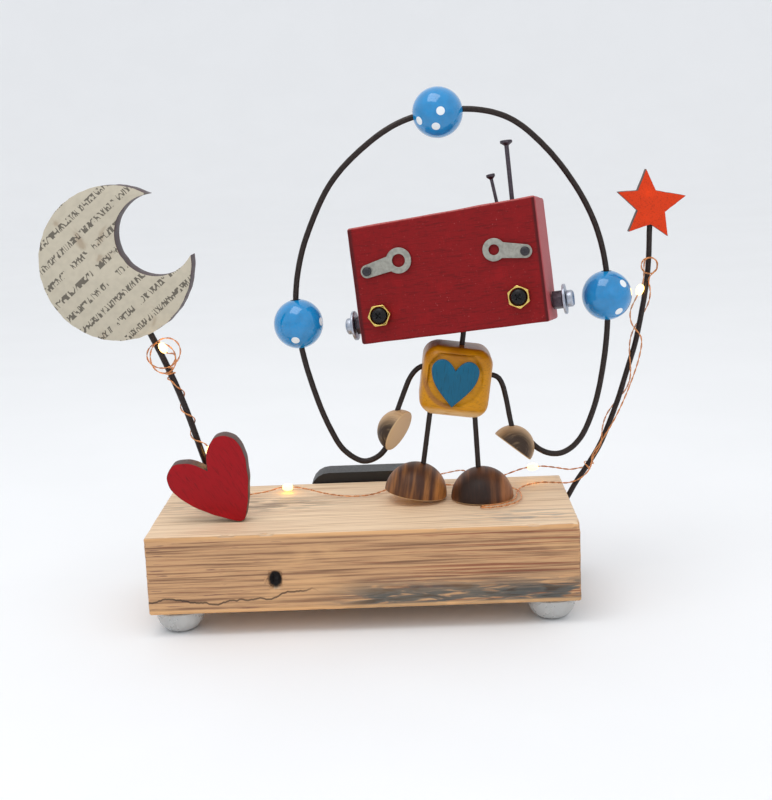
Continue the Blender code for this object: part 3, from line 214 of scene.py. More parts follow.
STAR_WIRE_POINTS = (
    (78.5, 29.07), (82.5, 36.0), (84.0, 38.6), (86.8, 43.4), (90.4, 48.6), (95.9, 57.4), (99.6, 65.6),
    (104.1, 77.4), (107.8, 89.2), (110.9, 99.2), (113.7, 112.4), (115.5, 123.0), (116.4, 132.0),
    (116.9, 146.0), (117.1, 151.6),
)

# Light string: its route, repeated from the frame's own tube
STRING_RADIUS = 0.35
STRING_STAND_OFF = 0.8
TURN_POINTS = 12
LED_RADIUS = 1.5
LED_LENGTH = 4.4
STAR_WIRE = 1.1
MOON_WIRE = 1.25
BEND_STEP, WOBBLE = 1.4, 0.05
CASE_TO_FOOT = (
    (25.5, 43.9, 39.7), (30.0, 43.9, 39.8), (35.5, 43.2, 40.9), (41.0, 39.8, 42.6), (44.5, 34.0, 42.4),
    (48.5, 27.0, 41.6), (53.0, 23.6, 42.2), (60.4, 24.0, 44.6),
)
LED_BY_FOOT = ((70.0, 23.8, 46.9), (1.0, 0.0, 0.08))
FOOT_TO_STAR = ((79.6, 20.0, 47.2), (85.0, 15.2, 47.4))
STAR_KNOT = (0.175, 0.205, 1.5)  # share of the wire where a winding starts and ends, and its turns
STAR_CLIMB = (0.27, 0.80, 2.0)
STAR_LOOP = Vector((116.2, 9.2, 130.6))
STAR_LOOP_RADIUS = 3.4
LED_BY_STAR = ((112.4, 8.4, 121.2), (-0.45, 0.0, -1.0))
STAR_DROP = (
    (108.4, 8.4, 112.6), (109.2, 8.4, 107.2), (112.9, 8.6, 102.4), (112.2, 8.6, 95.0), (108.4, 8.6, 83.5),
    (102.8, 8.4, 71.0), (96.6, 8.2, 60.6), (92.6, 8.2, 54.6), (92.4, 8.2, 50.4), (88.6, 8.0, 45.8),
    (83.5, 9.5, 43.4), (79.0, 15.0, 42.2), (72.0, 19.0, 41.4), (66.0, 16.6, 40.9), (62.4, 9.4, 40.8),
    (61.6, 3.0, 40.8), (60.3, -3.4, 40.8), (55.6, -8.6, 40.8), (50.0, -10.8, 40.8), (47.0, -11.3, 40.8),
    (45.7, -12.7, 40.8), (47.0, -14.1, 40.8), (50.6, -14.0, 40.8), (57.2, -11.4, 40.8), (62.3, -5.0, 40.8),
    (63.4, 3.0, 40.8), (62.6, 11.0, 40.8),
    (58.0, 17.4, 40.8), (50.0, 19.6, 40.9), (40.0, 20.6, 40.9), (30.0, 21.6, 41.6),
)
LED_BEHIND_FOOT = ((18.0, 22.2, 42.3), (-1.0, -0.05, 0.0))
FEET_TO_HEART = (
    (8.5, 17.6, 40.9), (2.2, 11.2, 40.8), (-5.9, 10.2, 40.8), (-16.5, 15.9, 40.9), (-24.6, 21.0, 41.8),
)
LED_ON_BASE = ((-32.4, 22.6, 42.3), (-1.0, 0.05, 0.0))
HEART_TO_STICK = ((-40.4, 20.4, 41.4), (-48.0, 18.0, 40.9), (-54.0, 11.0, 40.9), (-58.0, 3.5, 41.2))
STICK_FOOT_WIND = (0.13, 0.25, 1.25)
LED_ON_STICK = ((-59.4, -8.0, 66.0), (-0.28, 0.0, 1.0))
STICK_CLIMB = (0.42, 0.66, 2.0)
STICK_KNOT = (0.70, 0.745, 2.0)
TOP_LOOP = Vector((-74.6, -8.6, 105.4))
TOP_LOOP_RADIUS = 6.0
TOP_LOOP_TURNS = 2.25
TOP_LOOP_DRIFT = 2.6
LED_AT_MOON = ((-73.8, -13.4, 108.8), (-0.5, -0.1, 1.0))
BACK, FRONT = math.pi / 2, -math.pi / 2  # side of a wire from which a winding starts
LEDS = (LED_BY_FOOT, LED_BY_STAR, LED_BEHIND_FOOT, LED_ON_BASE, LED_ON_STICK, LED_AT_MOON)
STAR_LOOP_START, STAR_LOOP_TURNS, STAR_LOOP_DRIFT = 300.0, 1.5, 1.2
TOP_LOOP_START, TOP_LOOP_TANGLE = 290.0, 1.3
ROUTE_STEP, WIRE_STEP, EASING_ROUNDS = 1.1, 6.0, 4
STRAND_OFFSET, STRAND_RADIUS, STRAND_PITCH = 0.19, 0.16, 7.0

# Stage, in metres: a flat floor whose rim curves up all round, two soft boxes and the camera
FLOOR_RADIUS = 2.2
RISE = 0.9
SKY_COLOUR = (0.97, 0.985, 1.0, 1.0)
KEY_SPOT, KEY_SIZE = (-0.12, -0.18, 0.75), 0.45
FILL_SPOT, FILL_SIZE = (0.45, -0.7, 0.4), 0.6
LIT_SPOT = Vector((0.0, 0.0, 0.09))
CAMERA_PLACE = (0.0170, -0.55055, 0.191)
CAMERA_PITCH, CAMERA_YAW, CAMERA_ROLL = 11.31, 1.24, 2.4
CAMERA_NEAR = 0.01


def srgb(red, green, blue):
    """Scene-linear colour of an sRGB one given in 0 to 255."""
    shares = (channel / 255 for channel in (red, green, blue))
    return tuple(c / 12.92 if c <= 0.04045 else ((c + 0.055) / 1.055) ** 2.4 for c in shares)


# ---------------------------------------------------------------- settings

def colour_setting(name, description, red, green, blue):
    return FloatVectorProperty(name=name, description=description, subtype="COLOR", size=3, min=0.0, max=1.0,
                               default=srgb(red, green, blue))


def radius_setting(name, description, default, low, high):
    return FloatProperty(name=name, description=description, default=default * MM, min=low * MM,
                         max=high * MM, subtype="DISTANCE", unit="LENGTH")


def strength_setting(name, description, default, high, **kind):
    return FloatProperty(name=name, description=description, default=default, min=0.0, soft_max=high, **kind)


class LAMP_PG_wood(PropertyGroup):
    """Bare and burnt wood."""

    base_light: colour_setting("Base light", "Light fibres of the reclaimed base block", 206, 160, 116)
    base_dark: colour_setting("Base dark", "Brown streaks along the base block's grain", 120, 84, 60)
    base_top: colour_setting("Base top", "Paler, sanded top of the base block", 240, 212, 178)
    stain: colour_setting("Stain", "Blue-grey stain along the bottom of the base block", 66, 80, 82)
    burnt: colour_setting("Burnt", "Scorched wood of the feet and hands", 38, 22, 16)
    ball: colour_setting("Ball", "Unburnt wood of the split balls", 218, 184, 140)
    roughness: FloatProperty(name="Roughness", description="Roughness of bare wood", default=0.68, min=0.0,
                             max=1.0, subtype="FACTOR")


class LAMP_PG_paint(PropertyGroup):
    """Painted pieces and beads."""

    head: colour_setting("Head", "Deep red of the head block", 130, 8, 14)
    torso: colour_setting("Torso", "Ochre of the body cube", 200, 134, 0)
    chest: colour_setting("Chest heart", "Blue of the heart on the chest", 0, 90, 122)
    heart: colour_setting("Heart", "Red of the large heart", 156, 0, 16)
    star: colour_setting("Star", "Orange of the star", 222, 58, 0)
    bead: colour_setting("Beads", "Blue of the hoop's beads", 0, 134, 198)
    paper: colour_setting("Paper", "Aged page on the moon", 198, 189, 170)
    ink: colour_setting("Ink", "Print on the aged page", 60, 54, 48)
    dot_radius: radius_setting("Dot radius", "Radius of a bead's white dots", 2.5, 0.5, 4.0)


class LAMP_PG_wire(PropertyGroup):
    """Wires and the light string."""

    black: colour_setting("Black wire", "Annealed wire of the limbs and hoop", 52, 42, 39)
    copper: colour_setting("Copper", "Enamelled copper of the light string", 232, 160, 106)
    glow: colour_setting("Glow", "Warm light of the LEDs", 255, 198, 98)
    strength: strength_setting("LED strength", "Strength of the LEDs' glow", 6.0, 40.0)
    limb: radius_setting("Limb wire", "Radius of the limb and neck wire", 1.05, 0.2, 3.0)
    hoop: radius_setting("Hoop wire", "Radius of the hoop wire", 1.15, 0.2, 3.0)
    sides: IntProperty(name="Sides", description="Sides of a round wire", default=16, min=6, max=48)


class LAMP_PG_stage(PropertyGroup):
    """Floor, light and camera."""

    floor: colour_setting("Floor", "Pale floor and backdrop", 246, 247, 249)
    sky: strength_setting("Sky", "Strength of the even light all round", 0.9, 3.0)
    key: strength_setting("Key", "Power of the overhead soft box", 1.5, 60.0, unit="POWER")
    fill: strength_setting("Fill", "Power of the front fill", 0.15, 60.0, unit="POWER")
    lens: FloatProperty(name="Lens", description="Focal length", default=63.0, min=20.0, max=200.0,
                        unit="CAMERA")


# ---------------------------------------------------------------- meshes in millimetres

def in_metres(matrix):
    local = matrix.copy()
    local.translation = matrix.translation * MM
    return local


def aim(origin, direction):
    """Matrix with its Z along direction."""
    turn = Vector(direction).normalized().to_track_quat("Z", "Y")
    return Matrix.Translation(origin) @ turn.to_matrix().to_4x4()


def on_face(spot, depth, turn=0.0):
    """Frame on the head's face: its Z points out of the face and its Y up."""
    upright = Matrix.Translation((spot.x, depth, spot.z)) @ Matrix.Rotation(math.radians(90.0), 4, "X")
    return upright @ Matrix.Rotation(math.radians(turn), 4, "Z")


def face_frame(origin, lean=0.0, yaw=0.0):
    """Matrix whose XY plane stands upright facing the front: Y is up and Z faces the front."""
    spin = Matrix.Rotation(math.radians(yaw), 4, "Z") @ Matrix.Rotation(math.radians(-lean), 4, "Y")
    return Matrix.Translation(origin) @ spin @ Matrix.Rotation(math.radians(90.0), 4, "X")


def head_share(x):
    """Height of the head at x as a share of its right end's; it tapers to the left."""
    return HEAD_LEFT_SHARE + (1 - HEAD_LEFT_SHARE) * (x / HEAD_SIZE.x + 0.5)


SLOT_OF = {part["node"]: part["material_slot"] for part in frame["record"]["subparts"]}


def make_piece(name, bm, matrix, finishes, nodes, angle=35.0):
    """Turns a millimetre bmesh into a piece that stands for the frame's nodes and moves with them."""
    bmesh.ops.recalc_face_normals(bm, faces=bm.faces)
    bmesh.ops.scale(bm, vec=(MM, MM, MM), verts=bm.verts)
    mesh = bpy.data.meshes.new(name)
    bm.to_mesh(mesh)
    bm.free()
    for finish in finishes:
        mesh.materials.append(finish)
    mesh.shade_smooth()
    mesh.set_sharp_from_angle(angle=math.radians(angle))
    obj = bpy.data.objects.new(name, mesh)
    bpy.context.scene.collection.objects.link(obj)
    obj.matrix_world = STAND @ in_metres(matrix)
    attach(obj, frame["nodes"][nodes[0]]["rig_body"])
    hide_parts(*nodes)
    return obj


def from_object(obj):
    """The evaluated mesh of a working object as a bmesh; the object is removed."""
    bpy.context.view_layer.update()
    evaluated = obj.evaluated_get(bpy.context.evaluated_depsgraph_get())
    mesh = bpy.data.meshes.new_from_object(evaluated)
    bm = bmesh.new()
    bm.from_mesh(mesh)
    bpy.data.meshes.remove(mesh)
    bpy.data.objects.remove(obj, do_unlink=True)
    return bm


def working_object(bm):
    mesh = bpy.data.meshes.new("working")
    bm.to_mesh(mesh)
    bm.free()
    obj = bpy.data.objects.new("working", mesh)
    bpy.context.scene.collection.objects.link(obj)
    return obj


def subtract(bm, tool, matrix=None):
    """bm with tool cut out of it."""
    target, cutter = working_object(bm), working_object(tool)
    if matrix:
        cutter.matrix_world = matrix
    modifier = target.modifiers.new("cut", "BOOLEAN")
    modifier.operation = "DIFFERENCE"
    modifier.solver = "EXACT"
    modifier.object = cutter
    result = from_object(target)
    bpy.data.objects.remove(cutter, do_unlink=True)
    return result


def marks(length, edge, spacing):
    """Places along one side of a block: close together at its ends, spacing apart between them."""
    half = length / 2
    steps = max(3, round(edge / 0.8))
    ends = [edge * index / steps for index in range(steps + 1)]
    inner = half - edge
    count = max(1, round(2 * inner / spacing))
    middle = [-inner + 2 * inner * index / count for index in range(1, count)]
    return [-half + end for end in ends] + middle + [half - end for end in reversed(ends)]


def lattice_block(size, edge, spacing):
    """Surface of a block as a fine lattice of quads, so that it can be worn and dented."""
    places = [marks(size[axis], edge, spacing[axis]) for axis in range(3)]
    bm = bmesh.new()
    verts = {}

    def vert(key):
        if key not in verts:
            verts[key] = bm.verts.new([places[axis][key[axis]] for axis in range(3)])
        return verts[key]

    for axis in range(3):
        across, along = (axis + 1) % 3, (axis + 2) % 3
        for side in (0, len(places[axis]) - 1):
            for i in range(len(places[across]) - 1):
                for j in range(len(places[along]) - 1):
                    quad = []
                    for di, dj in ((0, 0), (1, 0), (1, 1), (0, 1)):
                        key = [0, 0, 0]
                        key[axis], key[across], key[along] = side, i + di, j + dj
                        quad.append(vert(tuple(key)))
                    bm.faces.new(quad)
    return bm


def rounded_place(point, half, radius):
    """Where a point of a block's surface goes when its edges are rounded, and which way is out."""
    core = Vector(max(radius - h, min(h - radius, c)) for c, h in zip(point, half))
    out = (point - core).normalized()
    return core + out * radius, out


def turned(profile, segments=48):
    """A turned piece from (radius, height) pairs, top to bottom down its outer side."""
    bm = bmesh.new()
    rings = []
    for radius, height in profile:
        count = segments if radius > 1e-6 else 1
        angles = [2 * math.pi * index / segments for index in range(count)]
        rings.append([bm.verts.new((radius * math.cos(a), radius * math.sin(a), height)) for a in angles])
    for upper, lower in zip(rings, rings[1:]):
        for index in range(segments):
            after = (index + 1) % segments
            corners = (upper[index % len(upper)], lower[index % len(lower)],
                       lower[after % len(lower)], upper[after % len(upper)])
            corners = list(dict.fromkeys(corners))
            if len(corners) > 2:
                bm.faces.new(corners)
    bmesh.ops.remove_doubles(bm, verts=bm.verts, dist=1e-4)
    return bm


def rounded_profile(corners, radius, steps=3):
    """A turned profile whose inner corners are rounded by radius."""
    points = [Vector(corner) for corner in corners]
    profile = [tuple(points[0])]
    for before, here, after in zip(points, points[1:], points[2:]):
        reach = min(radius, (before - here).length * 0.45, (after - here).length * 0.45)
        start = here + (before - here).normalized() * reach
        end = here + (after - here).normalized() * reach
        for step in range(steps + 1):
            t = step / steps
            profile.append(tuple(start.lerp(here, t).lerp(here.lerp(end, t), t)))
    profile.append(tuple(points[-1]))
    return profile


def half_ball(radius, edge=0.5, rings=18, segments=64):
    """A half ball on its flat face at height 0, with a slightly rounded rim."""
    profile = []
    for ring in range(rings + 1):
        angle = math.pi / 2 * (1 - ring / rings) + math.asin(edge / radius) * ring / rings
        profile.append((radius * math.cos(angle), radius * math.sin(angle)))
    rim = profile[-1][0]
    profile += [(rim - 0.02 * edge, edge * 0.5), (rim - 0.3 * edge, edge * 0.12), (rim - edge, 0.0)]
    profile += [(rim * share, 0.0) for share in (0.7, 0.4, 0.0)]
    return turned(profile, segments)


def plate(outlines, thickness, edge, resolution=3):
    """A flat piece cut to closed outlines, with rounded edges; its Z runs through its thickness."""
    curve = bpy.data.curves.new("outline", "CURVE")
    curve.dimensions = "2D"
    curve.fill_mode = "BOTH"
    curve.extrude = thickness / 2 - edge
    curve.bevel_depth = edge
    curve.bevel_resolution = resolution
    curve.offset = -edge
    for outline in outlines:
        spline = curve.splines.new("POLY")
        spline.points.add(len(outline) - 1)
        for point, place in zip(spline.points, outline):
            point.co = (place[0], place[1], 0.0, 1.0)
        spline.use_cyclic_u = True
    obj = bpy.data.objects.new("outline", curve)
    bpy.context.scene.collection.objects.link(obj)
    bm = from_object(obj)
    bpy.data.curves.remove(curve)
    bmesh.ops.remove_doubles(bm, verts=bm.verts, dist=1e-3)
    return bm


def split_faces(bm, share=0.8):
    """Gives a plate's sides the second finish."""
    bm.normal_update()
    for face in bm.faces:
        face.material_index = 0 if abs(face.normal.z) > share else 1


def smooth_path(points, step):
    """Points about step apart on a centripetal Catmull-Rom curve through the given points."""
    nodes = [Vector(p) for p in points]
    nodes = [nodes[0] * 2 - nodes[1]] + nodes + [nodes[-1] * 2 - nodes[-2]]
    path = []
    for p0, p1, p2, p3 in zip(nodes, nodes[1:], nodes[2:], nodes[3:]):
        knots = [0.0]
        for a, b in ((p0, p1), (p1, p2), (p2, p3)):
            knots.append(knots[-1] + max(math.sqrt((b - a).length), 1e-6))
        count = max(1, round((p2 - p1).length / step))
        for index in range(count):
            t = knots[1] + (knots[2] - knots[1]) * index / count
            a1 = p0.lerp(p1, (t - knots[0]) / (knots[1] - knots[0]))
            a2 = p1.lerp(p2, (t - knots[1]) / (knots[2] - knots[1]))
            a3 = p2.lerp(p3, (t - knots[2]) / (knots[3] - knots[2]))
            b1 = a1.lerp(a2, (t - knots[0]) / (knots[2] - knots[0]))
            b2 = a2.lerp(a3, (t - knots[1]) / (knots[3] - knots[1]))
            path.append(b1.lerp(b2, (t - knots[1]) / (knots[2] - knots[1])))
    path.append(nodes[-2])
    return path


def travelling_frames(path):
    """Along a path: each point with two directions square to it that don't spin about it."""
    across = None
    frames = []
    for index, here in enumerate(path):
        way = (path[min(index + 1, len(path) - 1)] - path[max(index - 1, 0)]).normalized()
        if across is None:
            across = way.orthogonal()
        across = (across - way * across.dot(way)).normalized()
        frames.append((here, across, way.cross(across)))
    return frames


def tube(bm, path, radius, sides=16, wobble=0.0):
    """Adds a round wire along path, with ends a little rounded and, if asked, a faintly uneven surface."""
    rings = []
    for here, across, other in travelling_frames(path):
        ring = []
        for side in range(sides):
            angle = 2 * math.pi * side / sides
            out = across * math.cos(angle) + other * math.sin(angle)
            reach = radius * (1 + wobble * noise.noise((here + out * radius) * 0.45))
            ring.append(bm.verts.new(here + out * reach))
        rings.append(ring)
    for first, second in zip(rings, rings[1:]):
        for side in range(sides):
            after = (side + 1) % sides
            bm.faces.new((first[side], first[after], second[after], second[side]))
    for ring, here, inner in ((rings[0], path[0], path[1]), (rings[-1], path[-1], path[-2])):
        tip = bm.verts.new(here + (here - inner).normalized() * radius * 0.15)
        for side in range(sides):
            bm.faces.new((ring[side], ring[(side + 1) % sides], tip))
    return bm


def arc(centre, radius, start, end, count):
    """Points of an arc, angles in degrees, both ends included."""
    angles = [math.radians(start + (end - start) * i / (count - 1)) for i in range(count)]
    return [(centre[0] + radius * math.cos(a), centre[1] + radius * math.sin(a)) for a in angles]


def circle(radius, count, centre=(0.0, 0.0)):
    return arc(centre, radius, 0.0, 360.0, count + 1)[:-1]


def hexagon(flats, turn=0.0, corner=0.35):
    """A hexagon measured across its flats, with rounded corners."""
    points = [Vector((math.cos(math.radians(turn + 60 * i)), math.sin(math.radians(turn + 60 * i))))
              * flats / math.sqrt(3) for i in range(6)]
    outline = []
    for index, here in enumerate(points):
        before, after = points[index - 1], points[(index + 1) % 6]
        start = here + (before - here).normalized() * corner
        end = here + (after - here).normalized() * corner
        outline += [tuple(start.lerp(here, t).lerp(here.lerp(end, t), t)) for t in (0.0, 0.5, 1.0)]
    return outline


def mirrored_outline(side):
    """Closed outline from its right-hand side, which starts and ends on the middle line."""
    return list(side) + [(-x, y) for x, y in reversed(side[1:-1])]


def closed_curve(outline, steps, corners=()):
    """Rounds a closed outline between its corners, which stay sharp; steps points per side."""
    points = [Vector(p) for p in outline]
    total = len(points)
    smooth = []
    for index in range(total):
        p0, p1 = points[index - 1], points[index]
        p2, p3 = points[(index + 1) % total], points[(index + 2) % total]
        if index in corners:
            p0 = p1 * 2 - p2
        if (index + 1) % total in corners:
            p3 = p2 * 2 - p1
        for step in range(steps):
            t = step / steps
            smooth.append(0.5 * ((2 * p1) + (p2 - p0) * t + (2 * p0 - 5 * p1 + 4 * p2 - p3) * t * t
                                 + (3 * p1 - p0 - 3 * p2 + p3) * t ** 3))
    return smooth


def roughened(outline, amount, scale, seed):
    """An outline whose cut is a little uneven."""
    centre = sum((Vector(p) for p in outline), Vector((0.0, 0.0))) / len(outline)
    result = []
    for place in outline:
        place = Vector(place)
        push = noise.noise(Vector((place.x * scale, place.y * scale, seed))) * amount
        result.append(tuple(place + (place - centre).normalized() * push))
    return result


# ---------------------------------------------------------------- finishes

class Look:
    """A procedural material; positions in it are millimetres in the piece's own axes."""

    def __init__(self, name, roughness=0.5, **constants):
        self.material = bpy.data.materials.new(name)
        self.material.use_nodes = True
        self.nodes = self.material.node_tree.nodes
        self.links = self.material.node_tree.links
        self.shader = self.nodes["Principled BSDF"]
        self.shader.inputs["Roughness"].default_value = roughness
        for socket, value in constants.items():
            self.shader.inputs[socket.replace("_", " ")].default_value = value
        coordinates = self.nodes.new("ShaderNodeTexCoord")
        scale = self.nodes.new("ShaderNodeVectorMath")
        scale.operation = "SCALE"
        scale.inputs["Scale"].default_value = 1 / MM
        self.links.new(coordinates.outputs["Object"], scale.inputs[0])
        self.place = scale.outputs[0]
        split = self.nodes.new("ShaderNodeSeparateXYZ")
        self.links.new(self.place, split.inputs[0])
        self.x, self.y, self.z = split.outputs

    def feed(self, socket, value):
        if isinstance(value, bpy.types.NodeSocket):
            self.links.new(value, socket)
        elif isinstance(value, (int, float)):
            socket.default_value = value
        else:
            socket.default_value = tuple(value) + (1.0,) * (len(socket.default_value) - len(value))

    def noise(self, scale, stretch=(1.0, 1.0, 1.0), detail=4.0, distortion=0.0, seed=0.0):
        """Noise from 0 to 1; scale is in features per millimetre, and a small stretch draws it out."""
        mapping = self.nodes.new("ShaderNodeMapping")
        mapping.inputs["Location"].default_value = (seed, seed * 0.7, seed * 1.3)
        mapping.inputs["Scale"].default_value = stretch
        self.links.new(self.place, mapping.inputs["Vector"])
        texture = self.nodes.new("ShaderNodeTexNoise")
        texture.inputs["Scale"].default_value = scale
        texture.inputs["Detail"].default_value = detail
        texture.inputs["Distortion"].default_value = distortion
        self.links.new(mapping.outputs[0], texture.inputs["Vector"])
        return texture.outputs["Fac"]

    def sum(self, operation, first, second=0.0):
        node = self.nodes.new("ShaderNodeMath")
        node.operation = operation
        self.feed(node.inputs[0], first)
        self.feed(node.inputs[1], second)
        return node.outputs[0]

    def between(self, value, low, high, start=0.0, end=1.0):
        """start at low and end at high, smoothly."""
        node = self.nodes.new("ShaderNodeMapRange")
        node.interpolation_type = "SMOOTHSTEP"
        self.feed(node.inputs["Value"], value)
        for socket, number in (("From Min", low), ("From Max", high), ("To Min", start), ("To Max", end)):
            node.inputs[socket].default_value = number
        return node.outputs["Result"]

    def band(self, value, centre, half, soft):
        """1 within half of centre, falling to 0 over soft."""
        away = self.sum("ABSOLUTE", self.sum("SUBTRACT", value, centre))
        return self.between(away, half, half + soft, 1.0, 0.0)

    def both(self, *masks):
        result = masks[0]
        for mask in masks[1:]:
            result = self.sum("MULTIPLY", result, mask)
        return result

    def near(self, x, y, z, reach, soft, squash=(1.0, 1.0, 1.0)):
        """1 within reach of a place, with squash above 1 narrowing it along an axis."""
        total = 0.0
        for value, centre, factor in ((self.x, x, squash[0]), (self.y, y, squash[1]), (self.z, z, squash[2])):
            away = self.sum("MULTIPLY", self.sum("SUBTRACT", value, centre), factor)
            total = self.sum("ADD", self.sum("MULTIPLY", away, away), total)
        return self.between(self.sum("SQRT", total), reach, reach + soft, 1.0, 0.0)

    def mix(self, share, first, second):
        node = self.nodes.new("ShaderNodeMix")
        node.data_type = "RGBA"
        self.feed(node.inputs["Factor"], share)
        self.feed(node.inputs[6], first)
        self.feed(node.inputs[7], second)
        return node.outputs[2]

    def tinted(self, colour, tint, amount, *masks):
        """The colour with up to amount of a tint laid over it, where every mask holds."""
        return self.mix(self.sum("MULTIPLY", self.both(*masks), amount), colour, tint)

    def facing(self, axis):
        """How far the surface faces along an axis of the piece, from -1 to 1."""
        coordinates = self.nodes.new("ShaderNodeTexCoord")
        split = self.nodes.new("ShaderNodeSeparateXYZ")
        self.links.new(coordinates.outputs["Normal"], split.inputs[0])
        return split.outputs[axis]

    def finish(self, colour, roughness=None, height=None, depth=0.2, strength=1.0):
        """Connects a colour, a roughness and relief whose full height is depth millimetres."""
        self.feed(self.shader.inputs["Base Color"], colour)
        if roughness is not None:
            self.feed(self.shader.inputs["Roughness"], roughness)
        if height is not None:
            bump = self.nodes.new("ShaderNodeBump")
            bump.inputs["Strength"].default_value = strength
            bump.inputs["Distance"].default_value = depth * MM
            self.links.new(height, bump.inputs["Height"])
            self.links.new(bump.outputs[0], self.shader.inputs["Normal"])
        return self.material


def base_look(wood):
    """Reclaimed softwood: brown streaks, a stain along the bottom, a crack, and a knot hole whose inside is
    painted near-black as shade.
    """
    look = Look("reclaimed_wood")
    streak = look.noise(1.1, (0.02, 1.0, 1.0), 9.0, 0.3)
    fibre = look.noise(3.6, (0.025, 1.0, 1.0), 4.0, 0.0, 5.0)
    broad = look.noise(0.09, (0.3, 1.0, 1.0), 3.0, 0.6, 11.0)
    low, high = -BASE_SIZE.z / 2, BASE_SIZE.z / 2
    colour = look.mix(look.between(streak, 0.42, 0.68, 0.0, 0.9), wood.base_light, wood.base_dark)
    colour = look.mix(look.between(fibre, 0.56, 0.72, 0.0, 0.5), colour, srgb(150, 84, 60))
    colour = look.mix(look.between(broad, 0.5, 0.75, 0.0, 0.45), colour, srgb(236, 186, 132))
    dash = look.both(look.between(look.noise(0.55, (0.12, 1.0, 2.2), 3.0, 0.2, 21.0), 0.62, 0.68),
                     look.between(look.x, -20.0, -50.0))
    colour = look.tinted(colour, srgb(92, 54, 58), 0.7, dash)
    line = look.both(look.between(look.noise(0.5, (0.022, 1.0, 2.4), 3.0, 0.3, 31.0), 0.56, 0.62),
                     look.between(look.x, -5.0, 40.0))
    colour = look.tinted(colour, srgb(134, 66, 42), 0.65, line)
    mottle = look.noise(0.5, (0.16, 1.0, 1.2), 9.0, 0.6, 41.0)
    patch = look.both(look.between(look.z, low + 14.0, low + 5.0),
                      look.between(look.x, -22.0, 6.0), look.between(mottle, 0.34, 0.5))
    colour = look.mix(look.sum("MULTIPLY", patch, 0.86), colour,
                      look.mix(look.between(mottle, 0.5, 0.68), wood.stain, srgb(34, 40, 40)))
    upper = look.between(look.facing("Z"), 0.5, 0.9)
    top = look.mix(look.between(streak, 0.42, 0.68, 0.0, 0.7), wood.base_top, srgb(186, 146, 110))
    grey = look.both(look.near(-46.0, 6.0, high, 3.0, 16.0, (0.35, 1.0, 1.0)), look.between(mottle, 0.4, 0.6))
    top = look.tinted(top, srgb(88, 76, 66), 0.6, grey)
    corner = look.near(62.0, -24.0, high, 2.0, 12.0, (0.4, 1.0, 1.0))
    blue = look.both(corner, look.between(mottle, 0.42, 0.6))
    top = look.tinted(top, srgb(110, 120, 128), 0.55, blue)
    colour = look.mix(upper, colour, top)
    rim = look.sum("MAXIMUM", look.band(look.z, high - 0.3, 1.0, 1.0), look.band(look.z, low + 0.3, 0.9, 1.0))
    colour = look.mix(look.both(rim, look.between(upper, 0.0, 0.5, 0.6, 0.0)), colour, srgb(240, 186, 128))
    wander = look.sum("MULTIPLY", look.noise(0.07, (1.0, 0.0, 0.0), 4.0, 0.0, 51.0), 12.0)
    crack = look.both(look.band(look.sum("SUBTRACT", look.z, wander), low + 0.2, 0.18, 0.3),
                      look.between(look.x, -16.0, -24.0),
                      look.between(look.y, -34.0, -36.0))
    knot = look.near(KNOT_X, -BASE_SIZE.y / 2, KNOT_Z, 2.1, 0.9, (1.0, 0.4, KNOT_SQUASH))
    colour = look.tinted(colour, srgb(30, 20, 18), 0.75, crack)
    # The knot hole is painted near-black: painted shade inside the hole.
    colour = look.mix(knot, colour, srgb(16, 12, 12))
    relief = look.sum("ADD", look.sum("MULTIPLY", fibre, 0.5), look.sum("MULTIPLY", streak, 0.8))
    relief = look.sum("SUBTRACT", relief, look.sum("ADD", crack, knot))
    return look.finish(colour, wood.roughness, relief, 0.35, 0.7)


def ball_look(name, wood, light, dark, bands, burnt=None, reach=0.0, roughness=0.48):
    """A split wooden ball with grain in bands across X, scorched round the place burnt if there is one."""
    look = Look(name, Specular_IOR_Level=0.3)
    grain = look.noise(0.3, (1.0, 0.1, 0.1), 2.0, 0.15, 3.0)
    fine = look.noise(2.2, (1.0, 0.1, 0.1), 3.0, 0.2, 9.0)
    colour = look.mix(look.between(grain, bands - 0.16, bands + 0.2), dark, light)
    colour = look.mix(look.between(fine, 0.45, 0.7, 0.0, 0.35), colour, [c * 0.5 for c in dark])
    if burnt is not None:
        singed = look.between(fine, 0.2, 0.5, 0.74, 0.96)
        spread = look.sum("MULTIPLY", look.near(*burnt, reach, reach * 1.25), singed)
        colour = look.mix(spread, colour, wood.burnt)
    colour = look.mix(look.between(look.z, 0.5, 0.1), colour, wood.ball)
    return look.finish(colour, roughness, fine, 0.1, 0.5)


def painted_look(name, colour, edge, grain_axis="x", speckle=0.3, roughness=0.4, coat=0.2, depth=0.15):
    """Paint over wood grain, with darker pores and a little pale wood showing through."""
    stretch = {"x": (0.1, 1.0, 1.0), "y": (1.0, 0.1, 1.0), "z": (1.0, 1.0, 0.1)}[grain_axis]
    look = Look(name, Coat_Weight=coat, Coat_Roughness=0.2, Specular_IOR_Level=0.22)
    grain = look.noise(2.2, stretch, 5.0, 0.3)
    cloud = look.noise(0.12, detail=4.0, seed=7.0)
    speck = look.noise(1.9, detail=2.0, seed=17.0)
    shade = [channel * 0.45 for channel in colour]
    tint = [min(1.0, channel * 1.35) for channel in colour]
    mixed = look.mix(look.between(grain, 0.5, 0.72, 0.0, 0.65), colour, shade)
    mixed = look.mix(look.between(cloud, 0.5, 0.75, 0.0, 0.5), mixed, tint)
    mixed = look.mix(look.between(speck, 0.7, 0.76, 0.0, speckle), mixed, edge)
    return look, mixed, grain, cloud, roughness, depth


def finish_paint(parts):
    look, mixed, grain, _, roughness, depth = parts
    return look.finish(mixed, roughness, grain, depth, 0.6)


